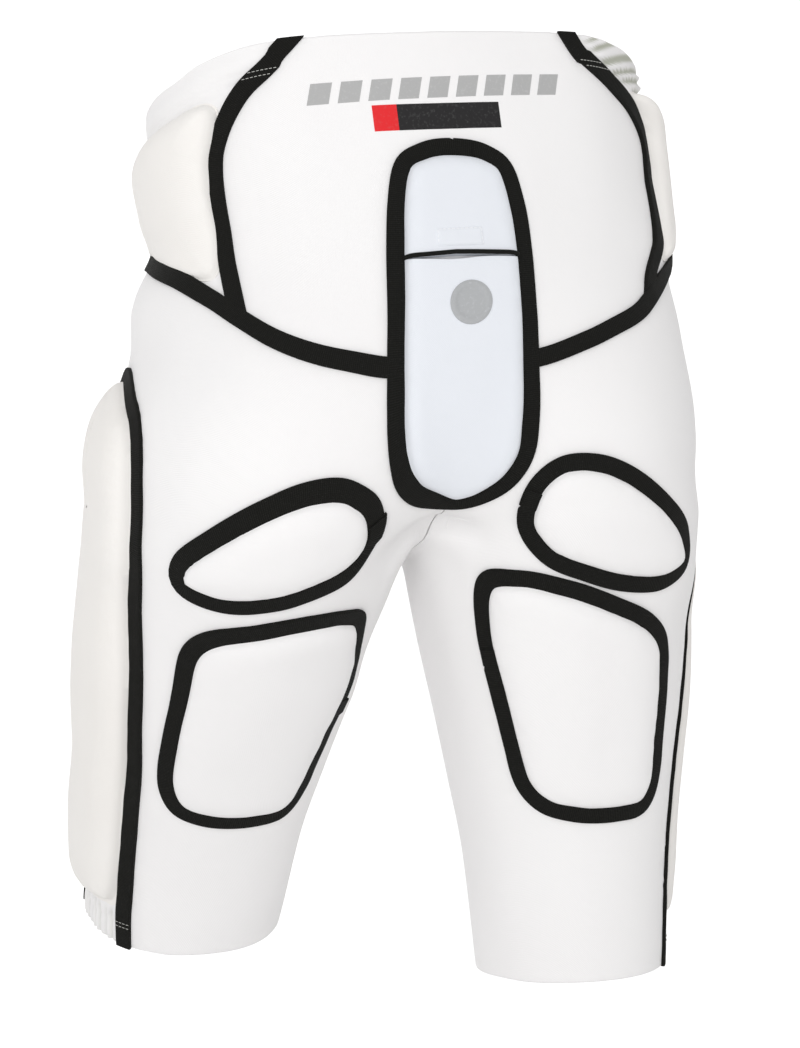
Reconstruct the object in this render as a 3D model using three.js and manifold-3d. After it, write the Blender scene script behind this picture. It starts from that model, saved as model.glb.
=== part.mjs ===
// Hip protector shorts: a stretch shell with sewn-in pads, black tape round each pad and over each seam.
// Millimetres. +Z is up, the wearer faces +Y and +X is the wearer's right.
// The origin is the centre of the waist opening.
import * as THREE from "three";
import { mergeVertices } from "three/addons/utils/BufferGeometryUtils.js";
import Module from "manifold-3d";

// Trunk of the shell
const rise = 266; // waist opening down to the crotch
const waistHalfWidth = 143;
const hipHalfWidth = 165;
const waistBackDepth = 97;
const seatDepth = 112;
const bellyDepth = 98;
const trunkCornerPower = 2.35;

// Legs of the shell
const inseam = 254; // crotch down to the hem
const thighHalfWidth = 85.5;
const hemRadius = 57;
const legOffset = 88; // leg axis from the middle, level with the crotch
const legSplay = 22; // how much further out the leg axis is at the hem
const legForward = 30; // how much further forward the leg axis is at the hem
const legCornerPower = 2.1;
const trunkBlend = 26;
const trunkFloorLift = 4; // lowest trunk section above the crotch
const crotchBlend = 7;

// Edges and seams of the shell
const waistRiseBack = 22;
const waistDropFront = 10;
const yokeDropBack = 160;
const yokeDropSide = 86;
const yokeDropFront = 68;
const yokeSagLeft = 5; // how much lower the yoke seam hangs at the left of the back
const hipSeamAngle = 68; // degrees round from the middle of the back
const thighRingDrop = 300; // first level ring of each leg
const ringTurn = 35; // degrees that this ring's outer part runs on past the front and the back
const riseSeamCentreDrop = 150; // centre of the arc that the rise seam's points are cast from

// Cloth, tape and fit
const clothThickness = 2;
const hemFold = 3; // thickness of the folded edge at the waist and the hems
const foldHeight = 18; // of the hems
const waistBand = 19; // height of the gathered band at the waist
const tapeWidth = 10;
const tapeThickness = 1.2;
const seamGap = 0.9; // between two panels under a tape
const clearance = 0.4; // between the shell and a pad
const tapeClearance = 0.7; // between the shell and the middle of a tape

// Pads
const hipPadThickness = 12;
const sidePadThickness = 12;
const seatPadThickness = 7.5;
const thighPadThickness = 7;
const tailbonePadThickness = 8;
const padEdge = 2.4; // height of a pad's upright edge
const tailboneHalfWidth = 39;
const tailboneTop = 42;
const tailboneLength = 193;
const flapLength = 61; // from the top of the tailbone tape to the slit
const slitHeight = 0.8;
const seatLoopOffset = 94;
const seatLoopDrop = 242;
const seatLoopHalfWidth = 50;
const seatLoopHalfHeight = 30;
const thighLoopAngle = -4; // degrees round from the back of the leg, outwards
const thighLoopHalfAngle = 42.5;
const thighLoopDrop = 348.5;
const thighLoopHalfHeight = 69.5;
const sideLoopAngle = 95;
const sideLoopHalfAngle = 35;
const sideLoopTop = 152;
const sidePadHemMargin = 26;
const sidePadEndReach = 35; // length of the rounded swell at its ends
const sideTapeHemMargin = 1;
const hipPadSideInset = 9.3; // from the upright seams
const hipPadFootInset = 8; // from the yoke seam
const hipPadRounding = 0.4; // power of its outline, lower is squarer
const hipPadCrest = 0.45; // place of its crest, from the rear seam to the front one
const yokeTapeStart = 20; // degrees round from the middle of the back
const hipTapeMargin = 0.5; // from the waist edge
const badgeDiameter = 26;
const badgeThickness = 1;
const badgeDrop = 127;

// Stride of the display form: the left leg is bent forwards and the pelvis drops on that side
const hipJointDrop = 200;
const hipJointForward = -5;
const strideBlend = 60; // half width of the trunk that stays behind the bent leg
const strideFree = 70; // height below the crotch over which the legs part
const kneeLift = 20; // degrees
const kneeLiftDrop = 130; // where the bend begins
const kneeLiftHeight = 150;
const legTwist = 13; // degrees
const legTwistDrop = 230;
const legTwistHeight = 110;
const pelvisTilt = 0.055; // rise for each mm across
const pelvisTiltDrop = 220; // where the tilt begins, upwards
const pelvisTiltHeight = 120;
const pelvisSway = 9;
const pelvisSwayDrop = 95; // where the sway is largest
const pelvisSwayReach = 160;

// Facets: columns and rows of the cloth, points of the tapes and pads
const outerColumns = 16;
const innerColumns = 10;
const upperRows = 7;
const lowerRows = 7;
const panelRows = 6;
const backColumns = 14;
const frontColumns = 10;
const hipColumns = 7;
const tailbonePoints = 38;
const seatPoints = 26;
const thighPoints = 30;
const sideTapePoints = 46;
const sidePadPoints = 36;
const hipPadPoints = 26;
const yokeTapePoints = 26;
const hipTapePoints = 12;
const badgePoints = 24;
const passes = 8; // of each search for a place that depends on itself

// height: share of the rise, hips: 0 waist size to 1 hip size, back and front: shares of the depths
const trunkColumns = ["height", "hips", "back", "front"];
const trunkRows = [
  [0.23, 0.14, -0.05, 0.94],
  [0.0, 0.0, 0.0, 0.94],
  [-0.19, 0.0, 0.2, 0.98],
  [-0.32, 0.23, 0.53, 1.0],
  [-0.43, 0.59, 0.8, 1.0],
  [-0.545, 0.91, 1.0, 0.99],
  [-0.715, 1.0, 0.87, 0.94],
  [-0.865, -0.14, -0.33, 0.8],
  [-0.985, -2.85, -3.1, 0.45],
];

// height: share of the inseam from the crotch, outwards and forwards: shares of the splay and the lean,
// thigh and hem: shares of the two sizes, back and front: shares of the half width
const legColumns = ["height", "outwards", "forwards", "thigh", "hem", "back", "front"];
const legRows = [
  [0.65, -0.45, -0.2, 0.468, 0.0, 1.5, 1.25],
  [0.46, -0.36, -0.2, 0.772, 0.0, 1.36, 1.12],
  [0.26, -0.18, -0.2, 0.982, 0.0, 1.26, 1.05],
  [0.1, -0.09, -0.13, 1.018, 0.0, 1.17, 1.01],
  [0.0, 0.0, -0.07, 1.0, 0.0, 1.1, 0.98],
  [-0.13, 0.18, 0.1, 0.84, 0.18, 1.05, 0.976],
  [-0.33, 0.45, 0.33, 0.6, 0.42, 1.01, 1.0],
  [-0.53, 0.64, 0.57, 0.36, 0.65, 1.0, 1.0],
  [-0.72, 0.82, 0.77, 0.14, 0.87, 1.0, 1.0],
  [-1.0, 1.0, 1.0, 0.0, 1.0, 1.0, 1.0],
];

// angle: degrees round from the middle of the back, back and front: shares of the rise and the drop
const waistColumns = ["angle", "back", "front"];
const waistRows = [
  [0, 1.0, 0.0],
  [42, 1.0, 0.0],
  [55, 0.91, 0.0],
  [66, 0.68, 0.0],
  [74, 0.41, 0.0],
  [93, 0.09, 0.0],
  [120, 0.0, 0.5],
  [150, 0.0, 0.9],
  [180, 0.0, 1.0],
];

// angle: degrees round from the middle of the back, back, side and front: shares of the three drops,
// sag: share of the left side's sag
const yokeColumns = ["angle", "back", "side", "front", "sag"];
const yokeRows = [
  [0, 1.0, 0.0, 0.0, 0.0],
  [20, 0.985, 0.015, 0.0, 0.0],
  [33, 0.865, 0.135, 0.0, 0.68],
  [40, 0.777, 0.223, 0.0, 1.0],
  [47.5, 0.67, 0.33, 0.0, 0.94],
  [55, 0.53, 0.47, 0.0, 0.6],
  [63, 0.39, 0.61, 0.0, -0.04],
  [74, 0.216, 0.784, 0.0, -0.64],
  [92, 0.0, 1.0, 0.0, -0.2],
  [120, 0.0, 0.45, 0.55, 0.0],
  [150, 0.0, 0.1, 0.9, 0.0],
  [180, 0.0, 0.0, 1.0, 0.0],
];

// drop: share of the rise, left and right: shares of the hip seam's angle
const hipSeamColumns = ["drop", "left", "right"];
const hipSeamRows = [
  [-0.1, 0.6, 0.59],
  [-0.045, 0.699, 0.652],
  [-0.023, 0.74, 0.696],
  [0.01, 0.812, 0.783],
  [0.053, 0.872, 0.896],
  [0.1, 0.917, 0.983],
  [0.143, 0.942, 1.011],
  [0.207, 0.945, 0.981],
  [0.3, 0.918, 0.941],
  [0.365, 0.891, 0.899],
  [0.436, 0.845, 0.82],
  [0.5, 0.8, 0.76],
];

// Loops of tape as across and up shares of their half width and half height
const tailboneLoop = [
  [0.0, 0.975],
  [0.46, 0.945],
  [0.71, 0.86],
  [0.81, 0.66],
  [0.865, 0.4],
  [0.9, 0.13],
  [0.96, -0.22],
  [1.02, -0.53],
  [1.01, -0.71],
  [0.87, -0.845],
  [0.54, -0.955],
  [0.09, -1.0],
  [-0.26, -0.955],
  [-0.56, -0.865],
  [-0.78, -0.745],
  [-0.92, -0.55],
  [-0.975, -0.22],
  [-0.97, 0.13],
  [-0.95, 0.4],
  [-0.89, 0.66],
  [-0.76, 0.86],
  [-0.46, 0.945],
];
const seatLoop = [
  [-1.0, 0.07],
  [-0.92, 0.7],
  [-0.64, 1.0],
  [-0.24, 1.0],
  [0.2, 0.77],
  [0.66, 0.3],
  [0.98, -0.23],
  [1.0, -0.73],
  [0.68, -1.0],
  [0.2, -0.97],
  [-0.32, -0.75],
  [-0.74, -0.47],
];
const thighColumns = ["left", "leftUp", "right", "rightUp"];
const thighLoop = [
  [-0.57, 0.95, -0.64, 1.06],
  [-0.24, 0.96, -0.24, 1.01],
  [0.24, 0.88, 0.24, 0.88],
  [0.66, 0.77, 0.66, 0.74],
  [0.85, 0.61, 0.87, 0.59],
  [0.95, 0.26, 0.96, 0.26],
  [0.99, -0.24, 1.0, -0.24],
  [0.97, -0.67, 1.02, -0.69],
  [0.81, -0.87, 0.86, -0.9],
  [0.45, -0.97, 0.46, -0.98],
  [-0.09, -1.0, -0.09, -1.0],
  [-0.52, -0.95, -0.51, -0.93],
  [-0.67, -0.79, -0.72, -0.76],
  [-0.74, -0.45, -0.83, -0.45],
  [-0.81, 0.05, -0.95, 0.05],
  [-0.85, 0.52, -1.03, 0.57],
  [-0.79, 0.83, -0.96, 0.94],
];
// left and right: across as shares of the half angle, Down: drop below the top as a share of the rise
const sideColumns = ["left", "leftDown", "right", "rightDown"];
const sideArch = [
  [-0.93, 1.05, -0.91, 1.05],
  [-0.91, 0.87, -0.9, 0.9],
  [-0.87, 0.65, -0.83, 0.71],
  [-0.94, 0.48, -0.62, 0.52],
  [-1.04, 0.35, -0.5, 0.36],
  [-0.95, 0.19, -0.47, 0.22],
  [-0.8, 0.115, -0.42, 0.13],
  [-0.54, 0.065, -0.32, 0.07],
  [-0.28, 0.025, -0.18, 0.025],
  [0.0, 0.0, 0.0, 0.0],
  [0.28, 0.02, 0.28, 0.02],
  [0.54, 0.05, 0.54, 0.05],
  [0.8, 0.1, 0.8, 0.1],
  [0.95, 0.18, 0.95, 0.18],
  [1.0, 0.35, 1.0, 0.35],
  [1.0, 0.7, 1.0, 0.7],
  [1.0, 1.05, 1.0, 1.05],
];

// How each loop lies as worn, across and up: shares of its half width and half height, turn: degrees,
// width and height: its size as worn over its flat size
const wornColumns = ["across", "up", "turn", "width", "height"];
const wornLoops = {
  tailbone: [-0.058, 0.016, -1.6, 1.024, 1.01],
  seat_left: [0.045, 0.24, -5.3, 1.03, 0.845],
  seat_right: [-0.043, -0.25, 3.1, 0.95, 1.15],
  thigh_left: [0.207, 0.071, 1.6, 0.962, 1.056],
  thigh_right: [-0.085, -0.045, -4.1, 0.94, 0.95],
};

// Foot of the side pad, across: share of the half angle, up: share of the rise above the pad's end
const sidePadFoot = [
  [0.94, 0.12],
  [0.88, 0.03],
  [0.5, 0.0],
  [-0.5, 0.0],
  [-0.88, 0.03],
  [-0.94, 0.12],
];

// size: share of the outline, swell: share of the thickness above the edge
const cushionRings = [
  [1.0, 0.0],
  [0.88, 0.62],
  [0.6, 1.0],
  [0.25, 1.0],
];

const colours = {
  shell: 0xf1efee,
  cream: 0xf0ece4,
  cool: 0xe6e9ef,
  tape: 0x272825,
  badge: 0x9a9d9f,
};

const degree = Math.PI / 180;
const vector = (x, y, z) => new THREE.Vector3(x, y, z);
const mix = THREE.MathUtils.lerp;
const clamp = THREE.MathUtils.clamp;
const eased = (t) => THREE.MathUtils.smoothstep(t, 0, 1);
const hemDrop = rise + inseam;

// A table of rows read as smooth curves over its first column
function curveTable(columns, rows) {
  const sorted = [...rows].sort((a, b) => a[0] - b[0]);
  const last = sorted.length - 1;
  const slope = (i, c) => {
    const before = sorted[Math.max(i - 1, 0)];
    const after = sorted[Math.min(i + 1, last)];
    return (after[c] - before[c]) / (after[0] - before[0]);
  };
  return (place, name) => {
    const c = columns.indexOf(name);
    const x = clamp(place, sorted[0][0], sorted[last][0]);
    let i = 0;
    while (i < last - 1 && x > sorted[i + 1][0]) i += 1;
    const span = sorted[i + 1][0] - sorted[i][0];
    const t = (x - sorted[i][0]) / span;
    const rest = 1 - t;
    return (
      sorted[i][c] * rest * rest * (1 + 2 * t) +
      slope(i, c) * span * t * rest * rest +
      sorted[i + 1][c] * t * t * (3 - 2 * t) -
      slope(i + 1, c) * span * t * t * rest
    );
  };
}

const trunkShape = curveTable(trunkColumns, trunkRows);
const legShape = curveTable(legColumns, legRows);
const waistShape = curveTable(waistColumns, waistRows);
const yokeShape = curveTable(yokeColumns, yokeRows);
const hipSeamShape = curveTable(hipSeamColumns, hipSeamRows);

// Leg axis and size at a height
function legSection(z) {
  const h = (z + rise) / inseam;
  const halfWidth = thighHalfWidth * legShape(h, "thigh") + hemRadius * legShape(h, "hem");
  return {
    across: legOffset + legSplay * legShape(h, "outwards"),
    forward: legForward * legShape(h, "forwards"),
    halfWidth,
    back: halfWidth * legShape(h, "back"),
    front: halfWidth * legShape(h, "front"),
  };
}

function roundedSection(x, y, halfWidth, back, front, power) {
  const depth = y < 0 ? back : front;
  const reach = Math.pow(Math.abs(x / halfWidth), power) + Math.pow(Math.abs(y / depth), power);
  return (Math.pow(reach + 1e-12, 1 / power) - 1) * Math.min(halfWidth, depth);
}

function smoothUnion(a, b, blend) {
  const h = clamp(0.5 + (0.5 * (b - a)) / blend, 0, 1);
  return b * (1 - h) + a * h - blend * h * (1 - h);
}

// Below zero inside the body that the shell is stretched over
function bodyField(p) {
  const h = p.z / rise;
  const hips = trunkShape(h, "hips");
  const trunkHalf = waistHalfWidth + (hipHalfWidth - waistHalfWidth) * hips;
  const trunkBack = waistBackDepth + (seatDepth - waistBackDepth) * trunkShape(h, "back");
  const trunkFront = bellyDepth * trunkShape(h, "front");
  let trunk = roundedSection(p.x, p.y, trunkHalf, trunkBack, trunkFront, trunkCornerPower);
  trunk = -smoothUnion(-trunk, p.z + rise - trunkFloorLift, trunkBlend / 2);
  const leg = legSection(p.z);
  const limb = (side) => roundedSection(
    p.x - side * leg.across,
    p.y - leg.forward,
    leg.halfWidth,
    leg.back,
    leg.front,
    legCornerPower,
  );
  return smoothUnion(trunk, smoothUnion(limb(1), limb(-1), crotchBlend), trunkBlend);
}

function outward(p) {
  const reach = 0.5;
  const slopeAlong = (step) => bodyField(p.clone().add(step)) - bodyField(p.clone().sub(step));
  return vector(
    slopeAlong(vector(reach, 0, 0)),
    slopeAlong(vector(0, reach, 0)),
    slopeAlong(vector(0, 0, reach)),
  ).divideScalar(2 * reach);
}

// Moves a point along the slope until it lies on the body
function settle(start) {
  const p = start.clone();
  const farthest = 12;
  for (let pass = 0; pass < passes; pass += 1) {
    const slope = outward(p);
    const step = clamp(-bodyField(p) / slope.lengthSq(), -farthest, farthest);
    p.addScaledVector(slope, step);
  }
  return p;
}

// First crossing of the body along a level direction from a point inside it
function cast(from, direction) {
  const pace = 8;
  const halvings = 26;
  let inside = 0;
  let outside = pace;
  while (bodyField(from.clone().addScaledVector(direction, outside)) < 0) {
    inside = outside;
    outside += pace;
  }
  for (let pass = 0; pass < halvings; pass += 1) {
    const middle = (inside + outside) / 2;
    if (bodyField(from.clone().addScaledVector(direction, middle)) < 0) inside = middle;
    else outside = middle;
  }
  return from.clone().addScaledVector(direction, inside);
}

const trunkPoint = (angle, z) => cast(
  vector(0, 0, z),
  vector(Math.sin(angle * degree), -Math.cos(angle * degree), 0),
);
const backPoint = (x, z) => cast(vector(x, 0, z), vector(0, -1, 0));
function legPoint(side, angle, z) {
  const leg = legSection(z);
  const direction = vector(side * Math.sin(angle * degree), -Math.cos(angle * degree), 0);
  return cast(vector(side * leg.across, leg.forward, z), direction);
}

// Edge heights and seam angles, with the angle taken round from the middle of the back
function waistHeight(angle) {
  const a = Math.abs(angle);
  return waistRiseBack * waistShape(a, "back") - waistDropFront * waistShape(a, "front");
}
function yokeHeight(angle) {
  const a = Math.abs(angle);
  const back = yokeDropBack * yokeShape(a, "back");
  const side = yokeDropSide * yokeShape(a, "side");
  const sag = angle < 0 ? yokeSagLeft * yokeShape(a, "sag") : 0;
  return -back - side - yokeDropFront * yokeShape(a, "front") - sag;
}
const rearSeamAngle = (side, z) => hipSeamAngle * hipSeamShape(-z / rise, side < 0 ? "left" : "right");
const frontSeamAngle = (side, z) => 180 - rearSeamAngle(side, z);

// A loop's share moved to where it lies as worn
function wornShare(name, a, b) {
  const row = Object.fromEntries(wornColumns.map((column, k) => [column, wornLoops[name][k]]));
  const turn = row.turn * degree;
  const across = a * row.width;
  const up = b * row.height;
  return [
    across * Math.cos(turn) - up * Math.sin(turn) + row.across,
    across * Math.sin(turn) + up * Math.cos(turn) + row.up,
  ];
}

// The display form's stride, the same for every piece
function stride(p) {
  const left = p.x < 0;
  const free = eased((-p.z - rise + trunkFloorLift) / strideFree);
  const hold = left ? mix(eased(Math.abs(p.x) / strideBlend), 1, free) : 0;
  const leg = legSection(p.z);
  const twist = legTwist * degree * eased((-p.z - legTwistDrop) / legTwistHeight) * hold;
  const acrossAxis = p.x + leg.across;
  const forwardAxis = p.y - leg.forward;
  const x = -leg.across + acrossAxis * Math.cos(twist) - forwardAxis * Math.sin(twist);
  const y = leg.forward + acrossAxis * Math.sin(twist) + forwardAxis * Math.cos(twist);
  const bend = kneeLift * degree * eased((-p.z - kneeLiftDrop) / kneeLiftHeight) * hold;
  const ahead = (left ? y : p.y) - hipJointForward;
  const above = p.z + hipJointDrop;
  const sway = pelvisSway * eased(1 - Math.abs(p.z + pelvisSwayDrop) / pelvisSwayReach);
  const tilt = pelvisTilt * p.x * eased((p.z + pelvisTiltDrop) / pelvisTiltHeight);
  return vector(
    (left ? x : p.x) + sway,
    hipJointForward + ahead * Math.cos(bend) - above * Math.sin(bend),
    -hipJointDrop + ahead * Math.sin(bend) + above * Math.cos(bend) + tilt,
  );
}

// A closed body from points and triangles, turned so that its faces point out
function closedBody(points, triangles) {
  const placed = points.map(stride);
  let volume = 0;
  for (const [a, b, c] of triangles) {
    volume += placed[a].dot(placed[b].clone().cross(placed[c]));
  }
  const index = triangles.flatMap(([a, b, c]) => (volume > 0 ? [a, b, c] : [a, c, b]));
  const geometry = new THREE.BufferGeometry();
  const positions = new Float32Array(placed.flatMap((p) => [p.x, p.y, p.z]));
  geometry.setAttribute("position", new THREE.BufferAttribute(positions, 3));
  geometry.setIndex(index);
  return geometry;
}

const group = new THREE.Group();
function addPiece(name, geometry, colour, roughness) {
  const material = new THREE.MeshStandardMaterial({ color: colour, roughness, metalness: 0 });
  geometry.computeVertexNormals();
  const mesh = new THREE.Mesh(geometry, material);
  mesh.name = name;
  group.add(mesh);
}

// A cloth wall over a grid of points on the body; ring closes it round, a margin fattens it as a cutter
function clothWall(grid, ring, thicknessAt, margin = 0) {
  const points = [];
  const columns = grid[0].length;
  for (const row of grid) {
    for (const p of row) {
      const up = outward(p).normalize();
      const outer = p.clone().addScaledVector(up, margin);
      const inner = p.clone().addScaledVector(up, -thicknessAt(p));
      if (Math.abs(p.x) < seamGap) inner.x = p.x;
      points.push(outer, inner);
    }
  }
  const outer = (i, j) => 2 * (i * columns + (j % columns));
  const inside = (i, j) => outer(i, j) + 1;
  const triangles = [];
  const quad = (a, b, c, d) => triangles.push([a, b, c], [a, c, d]);
  const spans = ring ? columns : columns - 1;
  for (let i = 0; i < grid.length - 1; i += 1) {
    for (let j = 0; j < spans; j += 1) {
      quad(outer(i, j), outer(i + 1, j), outer(i + 1, j + 1), outer(i, j + 1));
      quad(inside(i, j), inside(i, j + 1), inside(i + 1, j + 1), inside(i + 1, j));
    }
    if (!ring) {
      quad(outer(i, 0), inside(i, 0), inside(i + 1, 0), outer(i + 1, 0));
      const end = columns - 1;
      quad(outer(i, end), outer(i + 1, end), inside(i + 1, end), inside(i, end));
    }
  }
  const foot = grid.length - 1;
  for (let j = 0; j < spans; j += 1) {
    quad(outer(0, j), outer(0, j + 1), inside(0, j + 1), inside(0, j));
    quad(outer(foot, j), inside(foot, j), inside(foot, j + 1), outer(foot, j + 1));
  }
  return closedBody(points, triangles);
}

// Flat tape laid on the body along a line of points; ring joins its ends, and a margin fattens it as a cutter
function tapeStrip(line, ring, margin = 0) {
  const count = line.length;
  const points = [];
  const low = tapeClearance - margin;
  const high = tapeClearance + tapeThickness + margin;
  const reach = tapeWidth / 2 + margin;
  line.forEach((p, k) => {
    const before = line[ring ? (k + count - 1) % count : Math.max(k - 1, 0)];
    const after = line[ring ? (k + 1) % count : Math.min(k + 1, count - 1)];
    const along = after.clone().sub(before).normalize();
    const side = along.cross(outward(p).normalize()).normalize();
    for (const edge of [-reach, reach]) {
      const seat = settle(p.clone().addScaledVector(side, edge));
      const up = outward(seat).normalize();
      points.push(seat.clone().addScaledVector(up, low));
      points.push(seat.clone().addScaledVector(up, high));
    }
  });
  const triangles = [];
  const quad = (a, b, c, d) => triangles.push([a, b, c], [a, c, d]);
  const spans = ring ? count : count - 1;
  for (let k = 0; k < spans; k += 1) {
    const a = 4 * k;
    const b = 4 * ((k + 1) % count);
    quad(a, b, b + 1, a + 1);
    quad(a + 1, b + 1, b + 3, a + 3);
    quad(a + 3, b + 3, b + 2, a + 2);
    quad(a + 2, b + 2, b, a);
  }
  if (!ring) {
    const end = 4 * (count - 1);
    quad(0, 1, 3, 2);
    quad(end, end + 2, end + 3, end + 1);
  }
  return closedBody(points, triangles);
}

// Points of a line moved sideways over the body, towards a chosen inside point
function insetLine(line, distance, towards) {
  const count = line.length;
  return line.map((p, k) => {
    const before = line[(k + count - 1) % count];
    const after = line[(k + 1) % count];
    const side = after.clone().sub(before).cross(outward(p)).normalize();
    if (side.dot(towards(p).sub(p)) < 0) side.negate();
    return settle(p.clone().addScaledVector(side, distance));
  });
}

// A pad over the outline: each ring shrinks towards its own middle point, and the top swells between them.
// Its underside lies deep in the body until it is trimmed.
function cushion(outline, middle, flat, thickness) {
  const count = outline.length;
  const points = [];
  for (const p of outline) {
    points.push(p.clone().addScaledVector(outward(p).normalize(), -clothThickness));
  }
  for (const [size, swell] of cushionRings) {
    for (const p of outline) {
      const seat = size === 1 ? p : settle(middle(p).lerp(p, size));
      const height = clearance + mix(padEdge, thickness, swell);
      points.push(seat.clone().addScaledVector(outward(seat).normalize(), height));
    }
  }
  const at = (ring, k) => ring * count + (k % count);
  const triangles = [];
  for (let ring = 0; ring < cushionRings.length; ring += 1) {
    for (let k = 0; k < count; k += 1) {
      triangles.push([at(ring, k), at(ring, k + 1), at(ring + 1, k + 1)]);
      triangles.push([at(ring, k), at(ring + 1, k + 1), at(ring + 1, k)]);
    }
  }
  const cap = (ring, faceUp) => {
    const contour = [];
    for (let k = 0; k < count; k += 1) contour.push(flat(points[at(ring, k)]));
    const turn = Math.sign(THREE.ShapeUtils.area(contour)) * faceUp;
    for (const [a, b, c] of THREE.ShapeUtils.triangulateShape([...contour], [])) {
      const same = Math.sign(THREE.ShapeUtils.area([contour[a], contour[b], contour[c]])) === turn;
      triangles.push((same ? [a, b, c] : [a, c, b]).map((k) => at(ring, k)));
    }
  };
  cap(cushionRings.length, 1);
  cap(0, -1);
  return closedBody(points, triangles);
}

// Even points along a smooth closed or open curve through a loop's shares
function smoothLine(shares, place, count, ring) {
  const knots = shares.map(([a, b]) => vector(a, b, 0));
  const curve = new THREE.CatmullRomCurve3(knots, ring, "centripetal");
  const raw = curve.getPoints(count * 8).map((q) => place(q.x, q.y));
  if (ring) raw.pop();
  const path = new THREE.CurvePath();
  raw.forEach((p, k) => {
    const next = raw[(k + 1) % raw.length];
    if (ring || k < raw.length - 1) path.add(new THREE.LineCurve3(p, next));
  });
  const points = path.getSpacedPoints(count);
  if (ring) points.pop();
  return points.map(settle);
}

const sides = [
  ["left", -1],
  ["right", 1],
];
const backFlat = (p) => new THREE.Vector2(p.x, p.z);
const sideFlat = (p) => new THREE.Vector2(p.y, p.z);
const padInset = tapeWidth / 2 + 3 * clearance;

// Cutting one closed body with others; offcuts past a cutter fall away
const wasm = await Module();
wasm.setup();
function solidOf(geometry) {
  const bare = new THREE.BufferGeometry();
  bare.setAttribute("position", geometry.getAttribute("position"));
  bare.setIndex(geometry.getIndex());
  const merged = mergeVertices(bare, 1e-4);
  const vertProperties = new Float32Array(merged.getAttribute("position").array);
  const triVerts = new Uint32Array(merged.getIndex().array);
  return new wasm.Manifold(new wasm.Mesh({ numProp: 3, vertProperties, triVerts }));
}
function cut(geometry, ...cutters) {
  let solid = solidOf(geometry);
  for (const cutter of cutters) solid = solid.subtract(cutter);
  const kept = solid.decompose().sort((a, b) => b.volume() - a.volume())[0];
  const mesh = kept.getMesh();
  const result = new THREE.BufferGeometry();
  result.setAttribute("position", new THREE.BufferAttribute(new Float32Array(mesh.vertProperties), 3));
  result.setIndex(new THREE.BufferAttribute(new Uint32Array(mesh.triVerts), 1));
  return result;
}

// A level block across the body between two heights, moved with the stride
function levelBlock(low, high) {
  const reach = 80;
  const box = new THREE.BoxGeometry(2 * reach, 2 * reach, high - low);
  box.translate(0, -reach - waistBackDepth / 2, (low + high) / 2);
  box.deleteAttribute("normal");
  box.deleteAttribute("uv");
  const merged = mergeVertices(box);
  const places = merged.getAttribute("position");
  const points = [];
  for (let k = 0; k < places.count; k += 1) points.push(vector().fromBufferAttribute(places, k));
  const index = merged.getIndex().array;
  const triangles = [];
  for (let k = 0; k < index.length; k += 3) triangles.push([index[k], index[k + 1], index[k + 2]]);
  return closedBody(points, triangles);
}

// Shell: two legs, each with its half of the seat, joined at the rise seam
function legGrid(side, gap) {
  const top = [];
  for (let j = 0; j <= outerColumns; j += 1) {
    const angle = (180 * j) / outerColumns;
    top.push(trunkPoint(side * angle, yokeHeight(side * angle) - gap / 2));
  }
  const middle = vector(0, 0, -riseSeamCentreDrop);
  const front = top[outerColumns].clone().sub(middle);
  const back = top[0].clone().sub(middle);
  const startAngle = Math.atan2(front.z, front.y);
  const endAngle = Math.atan2(back.z, back.y);
  for (let k = 1; k < innerColumns; k += 1) {
    const a = mix(startAngle, endAngle, k / innerColumns);
    top.push(cast(middle, vector(0, Math.cos(a), Math.sin(a))));
  }
  const angles = top.map((_, j) => (
    j <= outerColumns
      ? mix(-ringTurn, 180 + ringTurn, j / outerColumns)
      : mix(180 + ringTurn, 360 - ringTurn, (j - outerColumns) / innerColumns)
  ));
  const keepSide = (p) => {
    p.x = side * Math.max(p.x * side, gap / 2);
    return p;
  };
  const grid = [];
  for (let i = 0; i < upperRows; i += 1) {
    grid.push(top.map((p, j) => {
      const foot = legPoint(side, angles[j], -thighRingDrop);
      return keepSide(i === 0 ? p.clone() : settle(p.clone().lerp(foot, i / upperRows)));
    }));
  }
  for (let i = 0; i <= lowerRows; i += 1) {
    const z = -mix(thighRingDrop, hemDrop, i / lowerRows);
    grid.push(angles.map((angle) => keepSide(legPoint(side, angle, z))));
  }
  return grid;
}
const hemThickness = (p) => mix(hemFold, clothThickness, eased((p.z + hemDrop) / foldHeight - 0.5));
for (const [name, side] of sides) {
  addPiece(`leg_${name}`, clothWall(legGrid(side, seamGap), true, hemThickness), colours.shell, 0.75);
}

// Shell: panels above the yoke seam, between two upright seams
const arcAngle = (length) => length / waistHalfWidth / degree;
const waistThickness = (p) => {
  const angle = Math.atan2(Math.abs(p.x), -p.y) / degree;
  return mix(hemFold, clothThickness, eased((waistHeight(angle) - p.z) / waistBand - 0.5));
};
function panelGrid(from, to, columns, gap) {
  const grid = [];
  for (let i = 0; i <= panelRows; i += 1) {
    const row = [];
    for (let j = 0; j <= columns; j += 1) {
      let z = 0;
      let angle = 0;
      for (let pass = 0; pass < passes; pass += 1) {
        angle = mix(from(z) + arcAngle(gap / 2), to(z) - arcAngle(gap / 2), j / columns);
        const around = angle > 180 ? angle - 360 : angle;
        z = mix(waistHeight(around), yokeHeight(around) + gap / 2, i / panelRows);
      }
      row.push(trunkPoint(angle, z));
    }
    grid.push(row);
  }
  return grid;
}
const backGrid = (gap) => panelGrid(
  (z) => -rearSeamAngle(-1, z),
  (z) => rearSeamAngle(1, z),
  backColumns,
  gap,
);
const frontGrid = (gap) => panelGrid(
  (z) => frontSeamAngle(1, z),
  (z) => 360 - frontSeamAngle(-1, z),
  frontColumns,
  gap,
);
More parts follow.
